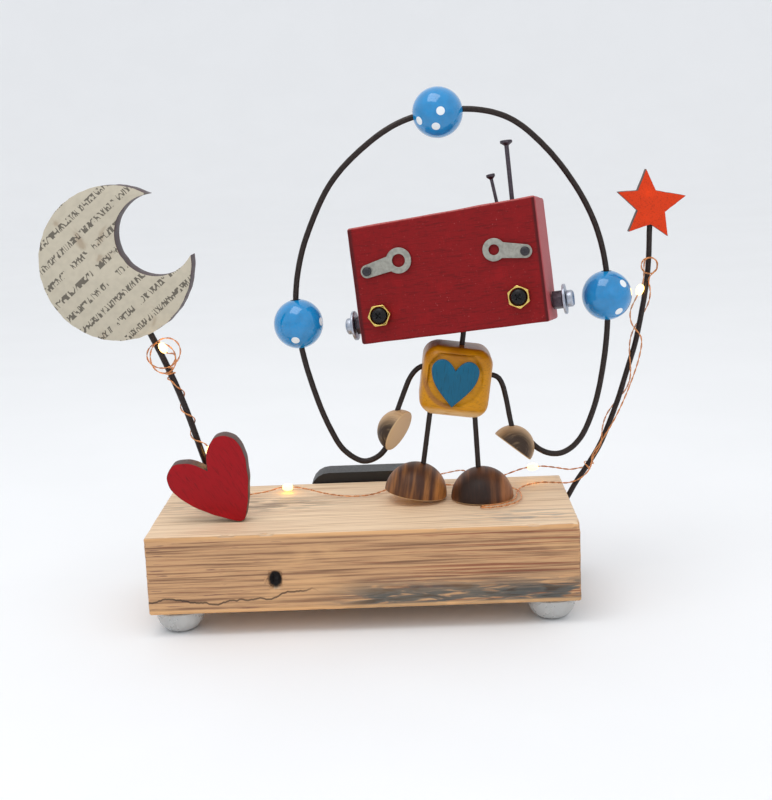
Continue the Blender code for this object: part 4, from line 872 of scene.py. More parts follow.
def plain_look(name, colour, roughness, metallic=0.0, variation=0.25, scale=0.8, depth=0.05, **constants):
    """One colour, a little uneven in tone and surface."""
    look = Look(name, Metallic=metallic, **constants)
    cloud = look.noise(scale, detail=5.0)
    shade = [channel * (1 - variation) for channel in colour]
    rough = look.between(cloud, 0.3, 0.7, max(0.03, roughness - 0.08), min(1.0, roughness + 0.1))
    return look.finish(look.mix(look.between(cloud, 0.35, 0.65), shade, colour), rough, cloud, depth, 0.5)


def bead_look(paint, dots):
    """Glossy blue glaze with round white dots at the given directions from the bead's middle."""
    look = Look("bead_glaze_" + str(len(bpy.data.materials)), 0.12, Coat_Weight=0.6, Coat_Roughness=0.04)
    cloud = look.noise(0.25, detail=3.0)
    colour = look.mix(look.between(cloud, 0.4, 0.7, 0.0, 0.35), paint.bead, [c * 0.6 for c in paint.bead])
    reach = paint.dot_radius / MM / 1.6
    for direction in dots:
        spot = Vector(direction).normalized() * BEAD_RADIUS
        colour = look.mix(look.near(*spot, reach, 0.12), colour, srgb(236, 242, 246))
    return look.finish(colour, 0.12)


def paper_look(paint):
    """An aged page: rows of broken, unreadable strokes in place of print, and brown glue stains."""
    look = Look("aged_page", 0.85)
    turn = math.radians(ROW_SLOPE)
    along = look.sum("ADD", look.sum("MULTIPLY", look.x, math.cos(turn)),
                     look.sum("MULTIPLY", look.y, math.sin(turn)))
    across = look.sum("SUBTRACT", look.sum("MULTIPLY", look.y, math.cos(turn)),
                      look.sum("MULTIPLY", look.x, math.sin(turn)))
    down = look.sum("ADD", across, ROW_PITCH * 100)
    row = look.sum("MODULO", down, ROW_PITCH)
    number = look.sum("FLOOR", look.sum("DIVIDE", down, ROW_PITCH))

    def along_row(height, scale):
        """Noise that runs along a row and differs from row to row."""
        combine = look.nodes.new("ShaderNodeCombineXYZ")
        look.links.new(along, combine.inputs[0])
        look.links.new(look.sum("MULTIPLY", number, 7.3), combine.inputs[1])
        look.links.new(look.sum("MULTIPLY", row, height), combine.inputs[2])
        texture = look.nodes.new("ShaderNodeTexNoise")
        texture.inputs["Scale"].default_value = scale
        texture.inputs["Detail"].default_value = 0.0
        look.links.new(combine.outputs[0], texture.inputs["Vector"])
        return texture.outputs["Fac"]

    stroke = look.band(along_row(0.42, 0.95), 0.5, 0.085, 0.02)
    words = look.between(along_row(0.0, 0.2), 0.36, 0.38)
    printed = look.both(look.band(row, ROW_PITCH / 2, 1.1, 0.25), stroke, words)
    fibre = look.noise(0.35, detail=6.0)
    glue = look.noise(0.07, detail=5.0, distortion=0.9, seed=13.0)
    colour = look.mix(look.between(fibre, 0.35, 0.7), paint.paper, [c * 0.92 for c in paint.paper])
    colour = look.mix(look.between(glue, 0.58, 0.72, 0.0, 0.45), colour, srgb(140, 112, 84))
    colour = look.tinted(colour, paint.ink, 0.8, printed)
    return look.finish(colour, 0.85, fibre, 0.12, 0.6)


# ---------------------------------------------------------------- the light string's route

def along_path(path, share):
    """Point and direction at a share of a path's length."""
    lengths = [(b - a).length for a, b in zip(path, path[1:])]
    goal = share * sum(lengths)
    for index, length in enumerate(lengths):
        if goal <= length or index == len(lengths) - 1:
            spot = path[index].lerp(path[index + 1], min(goal / length, 1.0))
            return spot, (path[index + 1] - path[index]).normalized()
        goal -= length
    return path[-1], (path[-1] - path[-2]).normalized()


def winding(path, start, end, turns, radius, side):
    """Points of a winding round a wire, between two shares of its length, from one side of it."""
    count = round(turns * TURN_POINTS)
    points = []
    for index in range(count + 1):
        spot, way = along_path(path, start + (end - start) * index / count)
        across = way.cross(Vector((0, 1, 0))).normalized()
        front = across.cross(way).normalized()
        angle = side + 2 * math.pi * turns * index / count
        points.append(spot + (across * math.cos(angle) + front * math.sin(angle)) * radius)
    return points


def loop(centre, radius, start, turns, drift, tangle=0.0):
    """Points of an open loop facing the front, drifting forward by drift, its turns up to tangle apart."""
    count = round(turns * TURN_POINTS)
    basis = aim(centre, Vector((0, -1, 0)))
    points = []
    for index in range(count + 1):
        share = index / count
        angle = math.radians(start) + 2 * math.pi * turns * share
        here = Vector((radius * math.cos(angle), radius * math.sin(angle), drift * share))
        apart = Vector((math.cos(angle * 0.45), math.sin(angle * 0.62), 0.0)) * tangle
        points.append(basis @ (here + apart))
    return points


def led_stretch(led):
    """The straight stretch of wire that runs through an LED drop."""
    centre, way = Vector(led[0]), Vector(led[1]).normalized()
    return [centre - way * LED_LENGTH * 0.75, centre, centre + way * LED_LENGTH * 0.75]


def eased(path, rounds):
    """A path whose sharp turns are eased, as fine wire bends; its ends stay."""
    for _ in range(rounds):
        inner = [(a + b * 2 + c) / 4 for a, b, c in zip(path, path[1:], path[2:])]
        path = [path[0], *inner, path[-1]]
    return path


def string_route():
    """The string from the case, up the star's wire, round the feet and up the moon's stick."""
    star = smooth_path([(x, STAR_WIRE_Y, z) for x, z in STAR_WIRE_POINTS], WIRE_STEP)
    stick = smooth_path(STICK_POINTS, WIRE_STEP)
    star_wind = STAR_WIRE + STRING_RADIUS + STRING_STAND_OFF
    stick_wind = MOON_WIRE + STRING_RADIUS + STRING_STAND_OFF
    route = [Vector(p) for p in CASE_TO_FOOT]
    route += led_stretch(LED_BY_FOOT)
    route += [Vector(p) for p in FOOT_TO_STAR]
    route += winding(star, *STAR_KNOT, star_wind, BACK)
    route += winding(star, *STAR_CLIMB, star_wind, FRONT)
    route += loop(STAR_LOOP, STAR_LOOP_RADIUS, STAR_LOOP_START, STAR_LOOP_TURNS, STAR_LOOP_DRIFT)
    route += led_stretch(LED_BY_STAR)
    route += [Vector(p) for p in STAR_DROP]
    route += led_stretch(LED_BEHIND_FOOT)
    route += [Vector(p) for p in FEET_TO_HEART]
    route += led_stretch(LED_ON_BASE)
    route += [Vector(p) for p in HEART_TO_STICK]
    route += winding(stick, *STICK_FOOT_WIND, stick_wind, BACK)
    route += led_stretch(LED_ON_STICK)
    route += winding(stick, *STICK_CLIMB, stick_wind, FRONT)
    route += winding(stick, *STICK_KNOT, stick_wind, FRONT)
    route += loop(TOP_LOOP, TOP_LOOP_RADIUS, TOP_LOOP_START, TOP_LOOP_TURNS, TOP_LOOP_DRIFT, TOP_LOOP_TANGLE)
    route += led_stretch(LED_AT_MOON)
    return eased(smooth_path(route, ROUTE_STEP), EASING_ROUNDS)


def twisted(bm, path, offset, radius, pitch, sides=6):
    """Two fine strands twisted round each other along path."""
    frames = travelling_frames(path)
    travelled = [0.0]
    for first, second in zip(path, path[1:]):
        travelled.append(travelled[-1] + (second - first).length)
    for start in (0.0, math.pi):
        strand = []
        for (here, across, other), far in zip(frames, travelled):
            angle = start + 2 * math.pi * far / pitch
            strand.append(here + (across * math.cos(angle) + other * math.sin(angle)) * offset)
        tube(bm, strand, radius, sides)


# ---------------------------------------------------------------- operators

class LAMP_OT_stage(Operator):
    """Lays the floor and sets the light and the camera"""

    bl_idname = "lamp.stage"
    bl_label = "Stage"
    bl_options = {"REGISTER", "UNDO"}

    def execute(self, context):
        stage = context.scene.lamp_stage
        scene = bpy.context.scene
        rise = [math.pi / 2 * step / 16 for step in range(17)]
        dish = [(FLOOR_RADIUS + RISE * math.sin(a), RISE - RISE * math.cos(a)) for a in rise]
        bm = turned([(0.0, 0.0)] + dish, 96)
        mesh = bpy.data.meshes.new("floor")
        bm.to_mesh(mesh)
        bm.free()
        mesh.shade_smooth()
        mesh.materials.append(plain_look("floor_paint", stage.floor, 0.8, variation=0.01, scale=0.01))
        floor = bpy.data.objects.new("floor", mesh)
        scene.collection.objects.link(floor)
        world = bpy.data.worlds.new("even_light")
        world.use_nodes = True
        world.node_tree.nodes["Background"].inputs["Color"].default_value = SKY_COLOUR
        world.node_tree.nodes["Background"].inputs["Strength"].default_value = stage.sky
        scene.world = world
        soft_boxes = (("key", stage.key, KEY_SPOT, KEY_SIZE), ("fill", stage.fill, FILL_SPOT, FILL_SIZE))
        for name, power, spot, size in soft_boxes:
            light = bpy.data.lights.new(name, "AREA")
            light.energy = power
            light.size = size
            lamp = bpy.data.objects.new(name, light)
            lamp.matrix_world = aim(Vector(spot), Vector(spot) - LIT_SPOT)
            scene.collection.objects.link(lamp)
        camera = bpy.data.cameras.new("camera")
        camera.lens = stage.lens
        camera.clip_start = CAMERA_NEAR
        pitch, yaw, roll = (math.radians(angle) for angle in (CAMERA_PITCH, CAMERA_YAW, CAMERA_ROLL))
        right = Vector((math.cos(yaw), math.sin(yaw), 0.0))
        ahead = Vector((-math.sin(yaw) * math.cos(pitch), math.cos(yaw) * math.cos(pitch), -math.sin(pitch)))
        up = right.cross(ahead)
        across = right * math.cos(roll) - up * math.sin(roll)
        above = right * math.sin(roll) + up * math.cos(roll)
        turn = Matrix((across, above, -ahead)).transposed().to_4x4()
        viewer = bpy.data.objects.new("camera", camera)
        viewer.matrix_world = Matrix.Translation(CAMERA_PLACE) @ turn
        scene.collection.objects.link(viewer)
        scene.camera = viewer
        scene.view_settings.view_transform = "Standard"
        return {"FINISHED"}


class LAMP_OT_light_string(Operator):
    """Lays the copper light string and its resin drops"""

    bl_idname = "lamp.light_string"
    bl_label = "Light string"
    bl_options = {"REGISTER", "UNDO"}

    def execute(self, context):
        wire = context.scene.lamp_wire
        path = string_route()
        copper = plain_look("enamelled_copper", wire.copper, 0.28, 1.0, 0.2, 0.6, 0.02)
        bm = bmesh.new()
        twisted(bm, path, STRAND_OFFSET, STRAND_RADIUS, STRAND_PITCH)
        string = make_piece("copper_string", bm, Matrix.Identity(4), [copper], ["light_string"], 60.0)
        resin = Look("led_resin", 0.15, Coat_Weight=0.5)
        resin.shader.inputs["Emission Color"].default_value = (*wire.glow, 1.0)
        resin.shader.inputs["Emission Strength"].default_value = wire.strength
        cloud = resin.noise(0.6, detail=2.0)
        resin.finish(resin.mix(cloud, srgb(255, 226, 160), srgb(250, 206, 120)), 0.15)
        for number, (centre, way) in enumerate(LEDS, start=1):
            half = LED_LENGTH / 2
            profile = [(LED_RADIUS * math.sin(math.pi * i / 14) ** 0.8, half * math.cos(math.pi * i / 14))
                       for i in range(15)]
            profile = [(0.0, half)] + profile[1:-1] + [(0.0, -half)]
            spot = aim(Vector(centre), Vector(way))
            make_piece(f"resin_drop_{number}", turned(profile, 20), spot, [resin.material],
                                    [f"led_{number}"], 60.0)
        return {"FINISHED"}


class LAMP_OT_base(Operator):
    """Builds the reclaimed wooden base block and its rubber bumpers"""

    bl_idname = "lamp.base"
    bl_label = "Base"
    bl_options = {"REGISTER", "UNDO"}

    def execute(self, context):
        wood = context.scene.lamp_wood
        bm = lattice_block(BASE_SIZE, BASE_EDGE, BASE_MESH)
        half = BASE_SIZE / 2
        for vert in bm.verts:
            place, out = rounded_place(vert.co, half, BASE_ROUND)
            grooves = noise.noise(Vector(c * stretch for c, stretch in zip(place, GROOVE_STRETCH)))
            edge = min(1.0, 2.2 - sum(sorted(abs(c) for c in out))) if max(map(abs, out)) < 0.98 else 0.0
            chips = max(0.0, noise.noise(place * CHIP_SCALE) - CHIP_START) * edge
            knot = Vector((place.x - KNOT_X, (place.z - KNOT_Z) * KNOT_SQUASH, 0.0)).length
            hole = max(0.0, 1 - (knot / KNOT_RADIUS) ** 2) * KNOT_DEPTH if out.y < -0.9 else 0.0
            corner = Vector((half.x - abs(place.x - 0.4), place.y + half.y, half.z - place.z)).length
            broken = max(0.0, BROKEN_CORNER - corner) * BROKEN_DEPTH if place.x > 0 else 0.0
            vert.co = place - out * (SANDED_OFF + GROOVE_DEPTH * grooves + chips + hole + broken)
        make_piece("reclaimed_base", bm, Matrix.Translation(BASE_MIDDLE), [base_look(wood)], ["base_block"])
        rubber = plain_look("clear_rubber", srgb(206, 206, 204), 0.28, variation=0.08, scale=0.15, depth=0.01,
                            Transmission_Weight=0.25)
        for side_x, x in (("left", -BUMPER_X), ("right", BUMPER_X)):
            for side_y, y in (("front", -BUMPER_Y), ("rear", BUMPER_Y)):
                node = f"bumper_{side_y}_{side_x}"
                low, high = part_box(node)
                radius, depth = (high.x - low.x) / 2 / MM, (high.z - low.z) / MM
                dome, drop = radius - BUMPER_FLAT, depth - BUMPER_LIP
                angles = [math.pi / 2 * i / 12 for i in range(1, 13)]
                profile = [(0.0, depth), (radius - BUMPER_LIP, depth), (radius, drop)]
                profile += [(BUMPER_FLAT + dome * math.cos(a), drop * (1 - math.sin(a))) for a in angles]
                profile += [(0.0, 0.0)]
                spot = Matrix.Translation((x, y, low.z / MM))
                make_piece(f"rubber_{side_y}_{side_x}", turned(profile), spot, [rubber], [node])
        return {"FINISHED"}


class LAMP_OT_wires(Operator):
    """Bends the black wires of the limbs, neck, hoop, moon stick and star"""

    bl_idname = "lamp.wires"
    bl_label = "Wires"
    bl_options = {"REGISTER", "UNDO"}

    def execute(self, context):
        wire = context.scene.lamp_wire
        black = plain_look("annealed_wire", wire.black, 0.36, 0.55, 0.4, 1.1, 0.06)
        neck_way = (NECK[1] - NECK[0]).normalized()
        limb, hoop = wire.limb / MM, wire.hoop / MM
        runs = {
            "left_leg": (LEGS["left"], limb), "right_leg": (LEGS["right"], limb),
            "left_arm": (ARMS["left"], limb), "right_arm": (ARMS["right"], limb),
            "neck_wire": ((NECK[0], NECK[1], NECK[1] + neck_way * NECK_REACH), limb),
            "hoop_wire": ([(x, HOOP_Y, z) for x, z in HOOP_POINTS], hoop),
            "moon_stick": (STICK_POINTS, MOON_WIRE),
            "star_wire": ([(x, STAR_WIRE_Y, z) for x, z in STAR_WIRE_POINTS], STAR_WIRE),
        }
        for node, (points, radius) in runs.items():
            bm = tube(bmesh.new(), smooth_path(points, BEND_STEP), radius, wire.sides, WOBBLE)
            make_piece(f"bent_{node}", bm, Matrix.Identity(4), [black], [node], 60.0)
        return {"FINISHED"}


class LAMP_OT_feet_and_hands(Operator):
    """Builds the split, scorched balls used as feet and hands"""

    bl_idname = "lamp.feet_and_hands"
    bl_label = "Feet and hands"
    bl_options = {"REGISTER", "UNDO"}

    def execute(self, context):
        wood = context.scene.lamp_wood
        pale = srgb(206, 168, 126)
        looks = {
            "left_foot": ball_look("scorched_left_foot", wood, srgb(176, 116, 62), srgb(70, 40, 26), 0.5),
            "right_foot": ball_look("scorched_right_foot", wood, srgb(156, 100, 60), srgb(80, 48, 32), 0.52,
                                    FOOT_SCORCH_SPOT, FOOT_SCORCH),
        }
        for side, (centre, palm) in HANDS.items():
            spot = aim(centre, -palm).to_3x3().inverted() @ SCORCHED[side].normalized() * HAND_RADIUS
            name = f"scorched_{side}_hand"
            looks[f"{side}_hand"] = ball_look(name, wood, wood.ball, pale, 0.5, spot, HAND_SCORCH)
        for side in ("left", "right"):
            foot, hand = f"{side}_foot", f"{side}_hand"
            make_piece(f"split_{foot}", half_ball(FOOT_RADIUS, FOOT_EDGE), FEET[side], [looks[foot]], [foot])
            centre, palm = HANDS[side]
            make_piece(f"split_{hand}", half_ball(HAND_RADIUS), aim(centre, -palm), [looks[hand]], [hand])
        return {"FINISHED"}


class LAMP_OT_torso(Operator):
    """Builds the ochre body cube with its dished front and the blue heart in it"""

    bl_idname = "lamp.torso"
    bl_label = "Body"
    bl_options = {"REGISTER", "UNDO"}

    def execute(self, context):
        paint = context.scene.lamp_paint
        size = Vector((TORSO_SIZE, TORSO_SIZE, TORSO_SIZE))
        bm = lattice_block(size, TORSO_ROUND, TORSO_MESH)
        for vert in bm.verts:
            place, out = rounded_place(vert.co, size / 2, TORSO_ROUND)
            reach = Vector((place.x - DISH_CENTRE.x, place.z - DISH_CENTRE.z)).length
            sunk = max(0.0, min(1.0, (DISH_RADIUS - reach) / DISH_WALL)) if out.y < -0.8 else 0.0
            worn = TORSO_WORN * (1 + noise.noise(place * 0.3))
            vert.co = place + Vector((0.0, DISH_DEPTH * sunk, 0.0)) - out * worn
        parts = painted_look("ochre_gloss", paint.torso, srgb(222, 190, 130), "x", 0.2, 0.34, 0.12, 0.05)
        look, colour = parts[0], parts[1]
        brown = look.both(look.between(look.z, 3.0, 11.5), look.between(parts[3], 0.35, 0.65, 0.45, 1.0))
        colour = look.tinted(colour, srgb(128, 68, 14), 0.68, brown)
        upright = (1.0, 0.0, 1.0)
        outside = look.near(DISH_CENTRE.x, 0.0, DISH_CENTRE.z, DISH_RADIUS + 0.4, 0.9, upright)
        inside = look.near(DISH_CENTRE.x, 0.0, DISH_CENTRE.z, DISH_RADIUS - 1.3, 0.7, upright)
        arc_side = look.both(look.sum("SUBTRACT", outside, inside), look.between(look.y, -9.0, -11.0),
                             look.between(look.x, 3.0, -4.0), look.between(look.z, 4.0, -1.0))
        colour = look.tinted(colour, srgb(110, 62, 64), 0.45, arc_side)
        # Pale band round the bottom: bare wood where the paint is worn through, and in part a painted
        # reflection of the pale floor in the gloss.
        bare = look.both(look.between(look.z, -9.6, -12.2), look.between(parts[2], 0.35, 0.5, 0.4, 1.0))
        colour = look.mix(bare, colour, srgb(226, 190, 138))
        ochre = finish_paint((look, colour, *parts[2:]))
        make_piece("ochre_body", bm, TORSO, [ochre], ["torso_block"], 50.0)
        parts = painted_look("blue_gloss", paint.chest, srgb(58, 122, 104), "y", 0.9, 0.4, 0.15, 0.06)
        outline = closed_curve(mirrored_outline(BLUE_HEART_SIDE), 10, (0, 7))
        depth = -TORSO_SIZE / 2 + DISH_DEPTH - GAP - CHEST_HEART_THICK / 2
        spot = TORSO @ face_frame((DISH_CENTRE.x, depth, CHEST_HEART_HEIGHT))
        heart = plate([outline], CHEST_HEART_THICK, 0.55)
        make_piece("blue_heart", heart, spot, [finish_paint(parts)], ["chest_heart"], 60.0)
        return {"FINISHED"}


class LAMP_OT_head(Operator):
    """Builds the red head block"""

    bl_idname = "lamp.head"
    bl_label = "Head"
    bl_options = {"REGISTER", "UNDO"}

    def execute(self, context):
        paint = context.scene.lamp_paint
        bm = lattice_block(HEAD_SIZE, HEAD_EDGE, HEAD_MESH)
        for vert in bm.verts:
            place, out = rounded_place(vert.co, HEAD_SIZE / 2, HEAD_ROUND)
            worn = HEAD_WORN * noise.noise(place * 0.12)
            in_notch = max(0.0, 1 - abs(place.x - NOTCH_X) / NOTCH_HALF)
            notch = NOTCH_DEPTH * in_notch if out.z < -0.3 and out.y < -0.2 else 0.0
            place = place - out * (HEAD_SANDED + worn) + Vector((0.0, notch * 0.4, notch))
            vert.co = (place.x, place.y, (place.z + HEAD_SIZE.z / 2) * head_share(place.x))
        hole = turned([(0.0, NECK_HOLE_TOP), (NECK_HOLE_RADIUS, NECK_HOLE_TOP),
                       (NECK_HOLE_RADIUS, NECK_HOLE_FOOT), (0.0, NECK_HOLE_FOOT)], 20)
        bmesh.ops.recalc_face_normals(hole, faces=hole.faces)
        bm = subtract(bm, hole, HEAD.inverted() @ aim(NECK[1], NECK[1] - NECK[0]))
        parts = painted_look("red_head", paint.head, srgb(190, 104, 100), "x", 0.6, 0.55, 0.0, 0.14)
        look, colour = parts[0], parts[1]
        weave = look.noise(2.4, (0.8, 1.0, 0.16), 4.0, 0.2, 23.0)
        colour = look.mix(look.between(weave, 0.52, 0.72, 0.0, 0.22), colour, srgb(78, 12, 16))
        front = look.between(look.facing("Y"), -0.5, -0.9)
        half = HEAD_SIZE.x / 2
        left_strip = look.band(look.x, -half + 0.8, 0.5, 1.2)
        right_strip = look.band(look.x, half - 0.9, 0.25, 0.9)
        dark = look.sum("MAXIMUM", left_strip, right_strip)
        colour = look.tinted(colour, srgb(50, 14, 18), 0.7, dark, front)
        # The right end face is painted lighter: painted light falling on that side.
        side = look.between(look.facing("X"), 0.5, 0.9)
        colour = look.tinted(colour, srgb(190, 92, 96), 0.75, side)
        ridge = look.both(look.between(look.y, -HEAD_SIZE.y / 2 + 1.4, -HEAD_SIZE.y / 2 + 0.5),
                          look.between(look.facing("Z"), 0.25, 0.6), look.between(weave, 0.3, 0.5))
        colour = look.tinted(colour, srgb(208, 116, 112), 0.7, ridge)
        make_piece("red_head", bm, HEAD, [finish_paint((look, colour, *parts[2:]))], ["head_block"], 50.0)
        return {"FINISHED"}


class LAMP_OT_eyes(Operator):
    """Hangs the two crimp lugs on their nails as eyes"""

    bl_idname = "lamp.eyes"
    bl_label = "Eyes"
    bl_options = {"REGISTER", "UNDO"}

    def execute(self, context):
        grey = plain_look("tinned_lug", srgb(170, 169, 160), 0.5, 0.7, 0.25, 0.9, 0.06)
        steel = plain_look("dark_nail", srgb(74, 72, 76), 0.4, 0.85, 0.3, 1.4, 0.08)
        for side, (ring, hole, half_tab, centre, nail) in EYE_LUGS.items():
            reach = nail - centre
            turn = math.degrees(math.atan2(reach.z, reach.x))
            join = math.degrees(math.asin(half_tab * LUG_JOIN / ring))
            outline = arc((-reach.length, 0.0), ring, join, 360.0 - join, 60)
            outline += arc((0.0, 0.0), half_tab, -80.0, 80.0, 24)
            holes = [circle(hole, 48, (-reach.length, 0.0)), circle(LUG_BORE, 24)]
            bm = plate([outline] + holes, LUG_THICK, LUG_ROUND, 2)
            spot = HEAD @ on_face(nail, HEAD_FACE - GAP - LUG_THICK / 2, turn)
            make_piece(f"lug_{side}", bm, spot, [grey], [f"{side}_eye_lug"], 60.0)
            corners = [*NAIL_HEAD, (NAIL_SHANK, 0.0), (NAIL_SHANK, -NAIL_REACH), (0.0, -NAIL_POINT)]
            pin = turned(rounded_profile(corners, 0.35), 28)
            seat = HEAD @ on_face(nail, HEAD_FACE - 2 * GAP - LUG_THICK)
            make_piece(f"nail_{side}", pin, seat, [steel], [f"{side}_eye_nail"])
        return {"FINISHED"}


class LAMP_OT_hardware(Operator):
    """Fits the cheek nuts and screws, the ear hardware and the antenna nails"""

    bl_idname = "lamp.hardware"
    bl_label = "Hardware"
    bl_options = {"REGISTER", "UNDO"}

    def execute(self, context):
        brass = plain_look("worn_brass", srgb(238, 208, 118), 0.22, 1.0, 0.12, 0.9, 0.05)
        black = plain_look("blackened_screw", srgb(30, 29, 31), 0.34, 0.6, 0.3, 1.5, 0.06)
        zinc = plain_look("zinc_plate", srgb(186, 192, 204), 0.34, 0.95, 0.25, 0.8, 0.04)
        steel = plain_look("dark_steel", srgb(92, 84, 92), 0.4, 0.9, 0.35, 1.1, 0.06)
        for side, (centre, turn) in CHEEKS.items():
            back = HEAD_FACE - GAP
            nut = plate([hexagon(NUT_FLATS, turn), circle(NUT_BORE, 40)], NUT_THICK, NUT_ROUND, 3)
            spot = HEAD @ on_face(centre, back - NUT_THICK / 2)
            make_piece(f"nut_{side}", nut, spot, [brass], [f"{side}_cheek_nut"], 40.0)
            crown = back - NUT_THICK + SCREW_RAISED - GAP
            angles = [math.pi / 2 * step / 10 for step in range(1, 11)]
            profile = [(SCREW_RADIUS * math.sin(a), SCREW_RIM + SCREW_DOME * math.cos(a)) for a in angles]
            profile = [(0.0, SCREW_RIM + SCREW_DOME), *profile, (SCREW_RADIUS, 0.0)]
            profile += [(SCREW_SHANK, 0.0), (SCREW_SHANK, -SCREW_REACH), (0.0, -SCREW_REACH)]
            screw = turned(profile, 40)
            for slot in (45.0, 135.0):
                tool = bmesh.new()
                bmesh.ops.create_cube(tool, size=1.0)
                bmesh.ops.scale(tool, vec=RECESS, verts=tool.verts)
                spot = Matrix.Translation((0, 0, RECESS_HEIGHT)) @ Matrix.Rotation(math.radians(slot), 4, "Z")
                screw = subtract(screw, tool, spot)
            spot = HEAD @ on_face(centre, crown)
            make_piece(f"screw_{side}", screw, spot, [black], [f"{side}_cheek_screw"])
        for side, sign in (("left", -1.0), ("right", 1.0)):
            start = HEAD_SIZE.x / 2 + GAP
            past_nut = start + EAR_NUT_THICK + GAP
            spots = {
                "nut": start + EAR_NUT_THICK / 2, "washer": past_nut + WASHER_THICK / 2,
                "bolt": past_nut + WASHER_THICK + GAP,
            }
            nut = plate([hexagon(EAR_NUT_FLATS, EAR_NUT_TURN), circle(EAR_BORE, 24)], EAR_NUT_THICK, 0.25)
            washer = plate([circle(WASHER_RADIUS, 64), circle(EAR_BORE, 24)], WASHER_THICK, 0.2)
            corners = [*BOLT_HEAD, (BOLT_SHANK, 0.0), (BOLT_SHANK, -BOLT_REACH), (0.0, -BOLT_REACH)]
            bolt = turned(rounded_profile(corners, 0.4), 36)
            for name, bm, finish in (("nut", nut, steel), ("washer", washer, zinc), ("bolt", bolt, zinc)):
                matrix = HEAD @ Matrix.Translation((sign * spots[name], 0.0, EAR_HEIGHT))
                matrix = matrix @ Matrix.Rotation(math.radians(90.0 * sign), 4, "Y")
                make_piece(f"ear_{name}_{side}", bm, matrix, [finish], [f"{side}_ear_{name}"], 40.0)
        for side, (x, lean, length, shank, crown) in ANTENNAE.items():
            top = HEAD_SIZE.z * head_share(x)
            corners = [(0.0, length), (crown, length), (crown, length - ANTENNA_CROWN),
                       (shank, length - ANTENNA_TAPER), (shank, ANTENNA_FOOT), (0.0, ANTENNA_POINT)]
            nail = turned(rounded_profile(corners, 0.3), 28)
            matrix = HEAD @ Matrix.Translation((x, 0.0, top)) @ Matrix.Rotation(math.radians(lean), 4, "Y")
            make_piece(f"antenna_{side}", nail, matrix, [steel], [f"{side}_antenna_nail"])
        return {"FINISHED"}


class LAMP_OT_beads(Operator):
    """Threads the three spotted beads on the hoop"""

    bl_idname = "lamp.beads"
    bl_label = "Beads"
    bl_options = {"REGISTER", "UNDO"}

    def execute(self, context):
        paint = context.scene.lamp_paint
        dots = {
            "left": ((-0.1, -0.9, -0.6), (0.9, -0.3, 0.1), (-0.8, 0.5, 0.2), (0.1, 0.6, 0.8)),
            "top": ((-0.75, -0.6, -0.3), (-0.1, -0.85, -0.55), (0.1, -1.0, 0.05), (0.6, 0.7, 0.3)),
            "right": ((0.6, -0.65, 0.55), (0.4, -0.75, -0.6), (0.97, -0.15, 0.0), (-0.6, 0.8, 0.2)),
        }
        fine = smooth_path([(x, HOOP_Y, z) for x, z in HOOP_POINTS], 0.5)
        end = math.asin(BEAD_BORE / BEAD_RADIUS)
        for side, directions in dots.items():
            node = f"{side}_bead"
            low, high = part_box(node)
            centre = (STAND.inverted() @ ((low + high) / 2)) / MM
            index = min(range(1, len(fine) - 1), key=lambda i: (fine[i] - centre).length)
            matrix = aim(centre, fine[index + 1] - fine[index - 1])
            angles = [end + (math.pi - 2 * end) * i / 36 for i in range(37)]
            profile = [(BEAD_RADIUS * math.sin(a), BEAD_RADIUS * math.cos(a)) for a in angles]
            bm = turned(profile + [profile[0]], 64)
            turn = matrix.to_3x3().inverted()
            glaze = bead_look(paint, [turn @ Vector(way) for way in directions])
            make_piece(f"spotted_{node}", bm, matrix, [glaze], [node])
        return {"FINISHED"}


class LAMP_OT_moon(Operator):
    """Cuts the wooden moon and glues the aged page to its face"""

    bl_idname = "lamp.moon"
    bl_label = "Moon"
    bl_options = {"REGISTER", "UNDO"}

    def execute(self, context):
        paint = context.scene.lamp_paint
        moon = face_frame(MOON_CENTRE, yaw=MOON_YAW)
        distance = BITE_CENTRE.length
        towards = math.degrees(math.atan2(BITE_CENTRE.y, BITE_CENTRE.x))
        square = distance ** 2
        outer = math.degrees(math.acos((square + MOON_RADIUS ** 2 - BITE_RADIUS ** 2)
                                       / (2 * distance * MOON_RADIUS)))
        inner = math.degrees(math.acos((MOON_RADIUS ** 2 - square - BITE_RADIUS ** 2)
                                       / (2 * distance * BITE_RADIUS)))
        outline = arc((0.0, 0.0), MOON_RADIUS, towards + outer, towards + 360.0 - outer, 150)
        outline += arc(BITE_CENTRE, BITE_RADIUS, towards + 360.0 - inner, towards + inner, 70)[1:-1]
        edge = plain_look("moon_edge", srgb(74, 50, 54), 0.5, variation=0.5, scale=0.35, depth=0.2)
        bare = plain_look("moon_back", srgb(176, 132, 88), 0.62, variation=0.12, scale=0.3, depth=0.15)
        disc = plate([roughened(outline, *MOON_CUT)], MOON_THICK, 0.35)
        split_faces(disc)
        make_piece("crescent", disc, moon, [bare, edge], ["moon_disc"])
        page = plate([roughened(outline, *MOON_CUT)], PAPER_THICK, 0.05, 1)
        spot = moon @ Matrix.Translation((0, 0, MOON_THICK / 2 + GAP + PAPER_THICK / 2))
        make_piece("page", page, spot, [paper_look(paint)], ["moon_paper"])
        return {"FINISHED"}


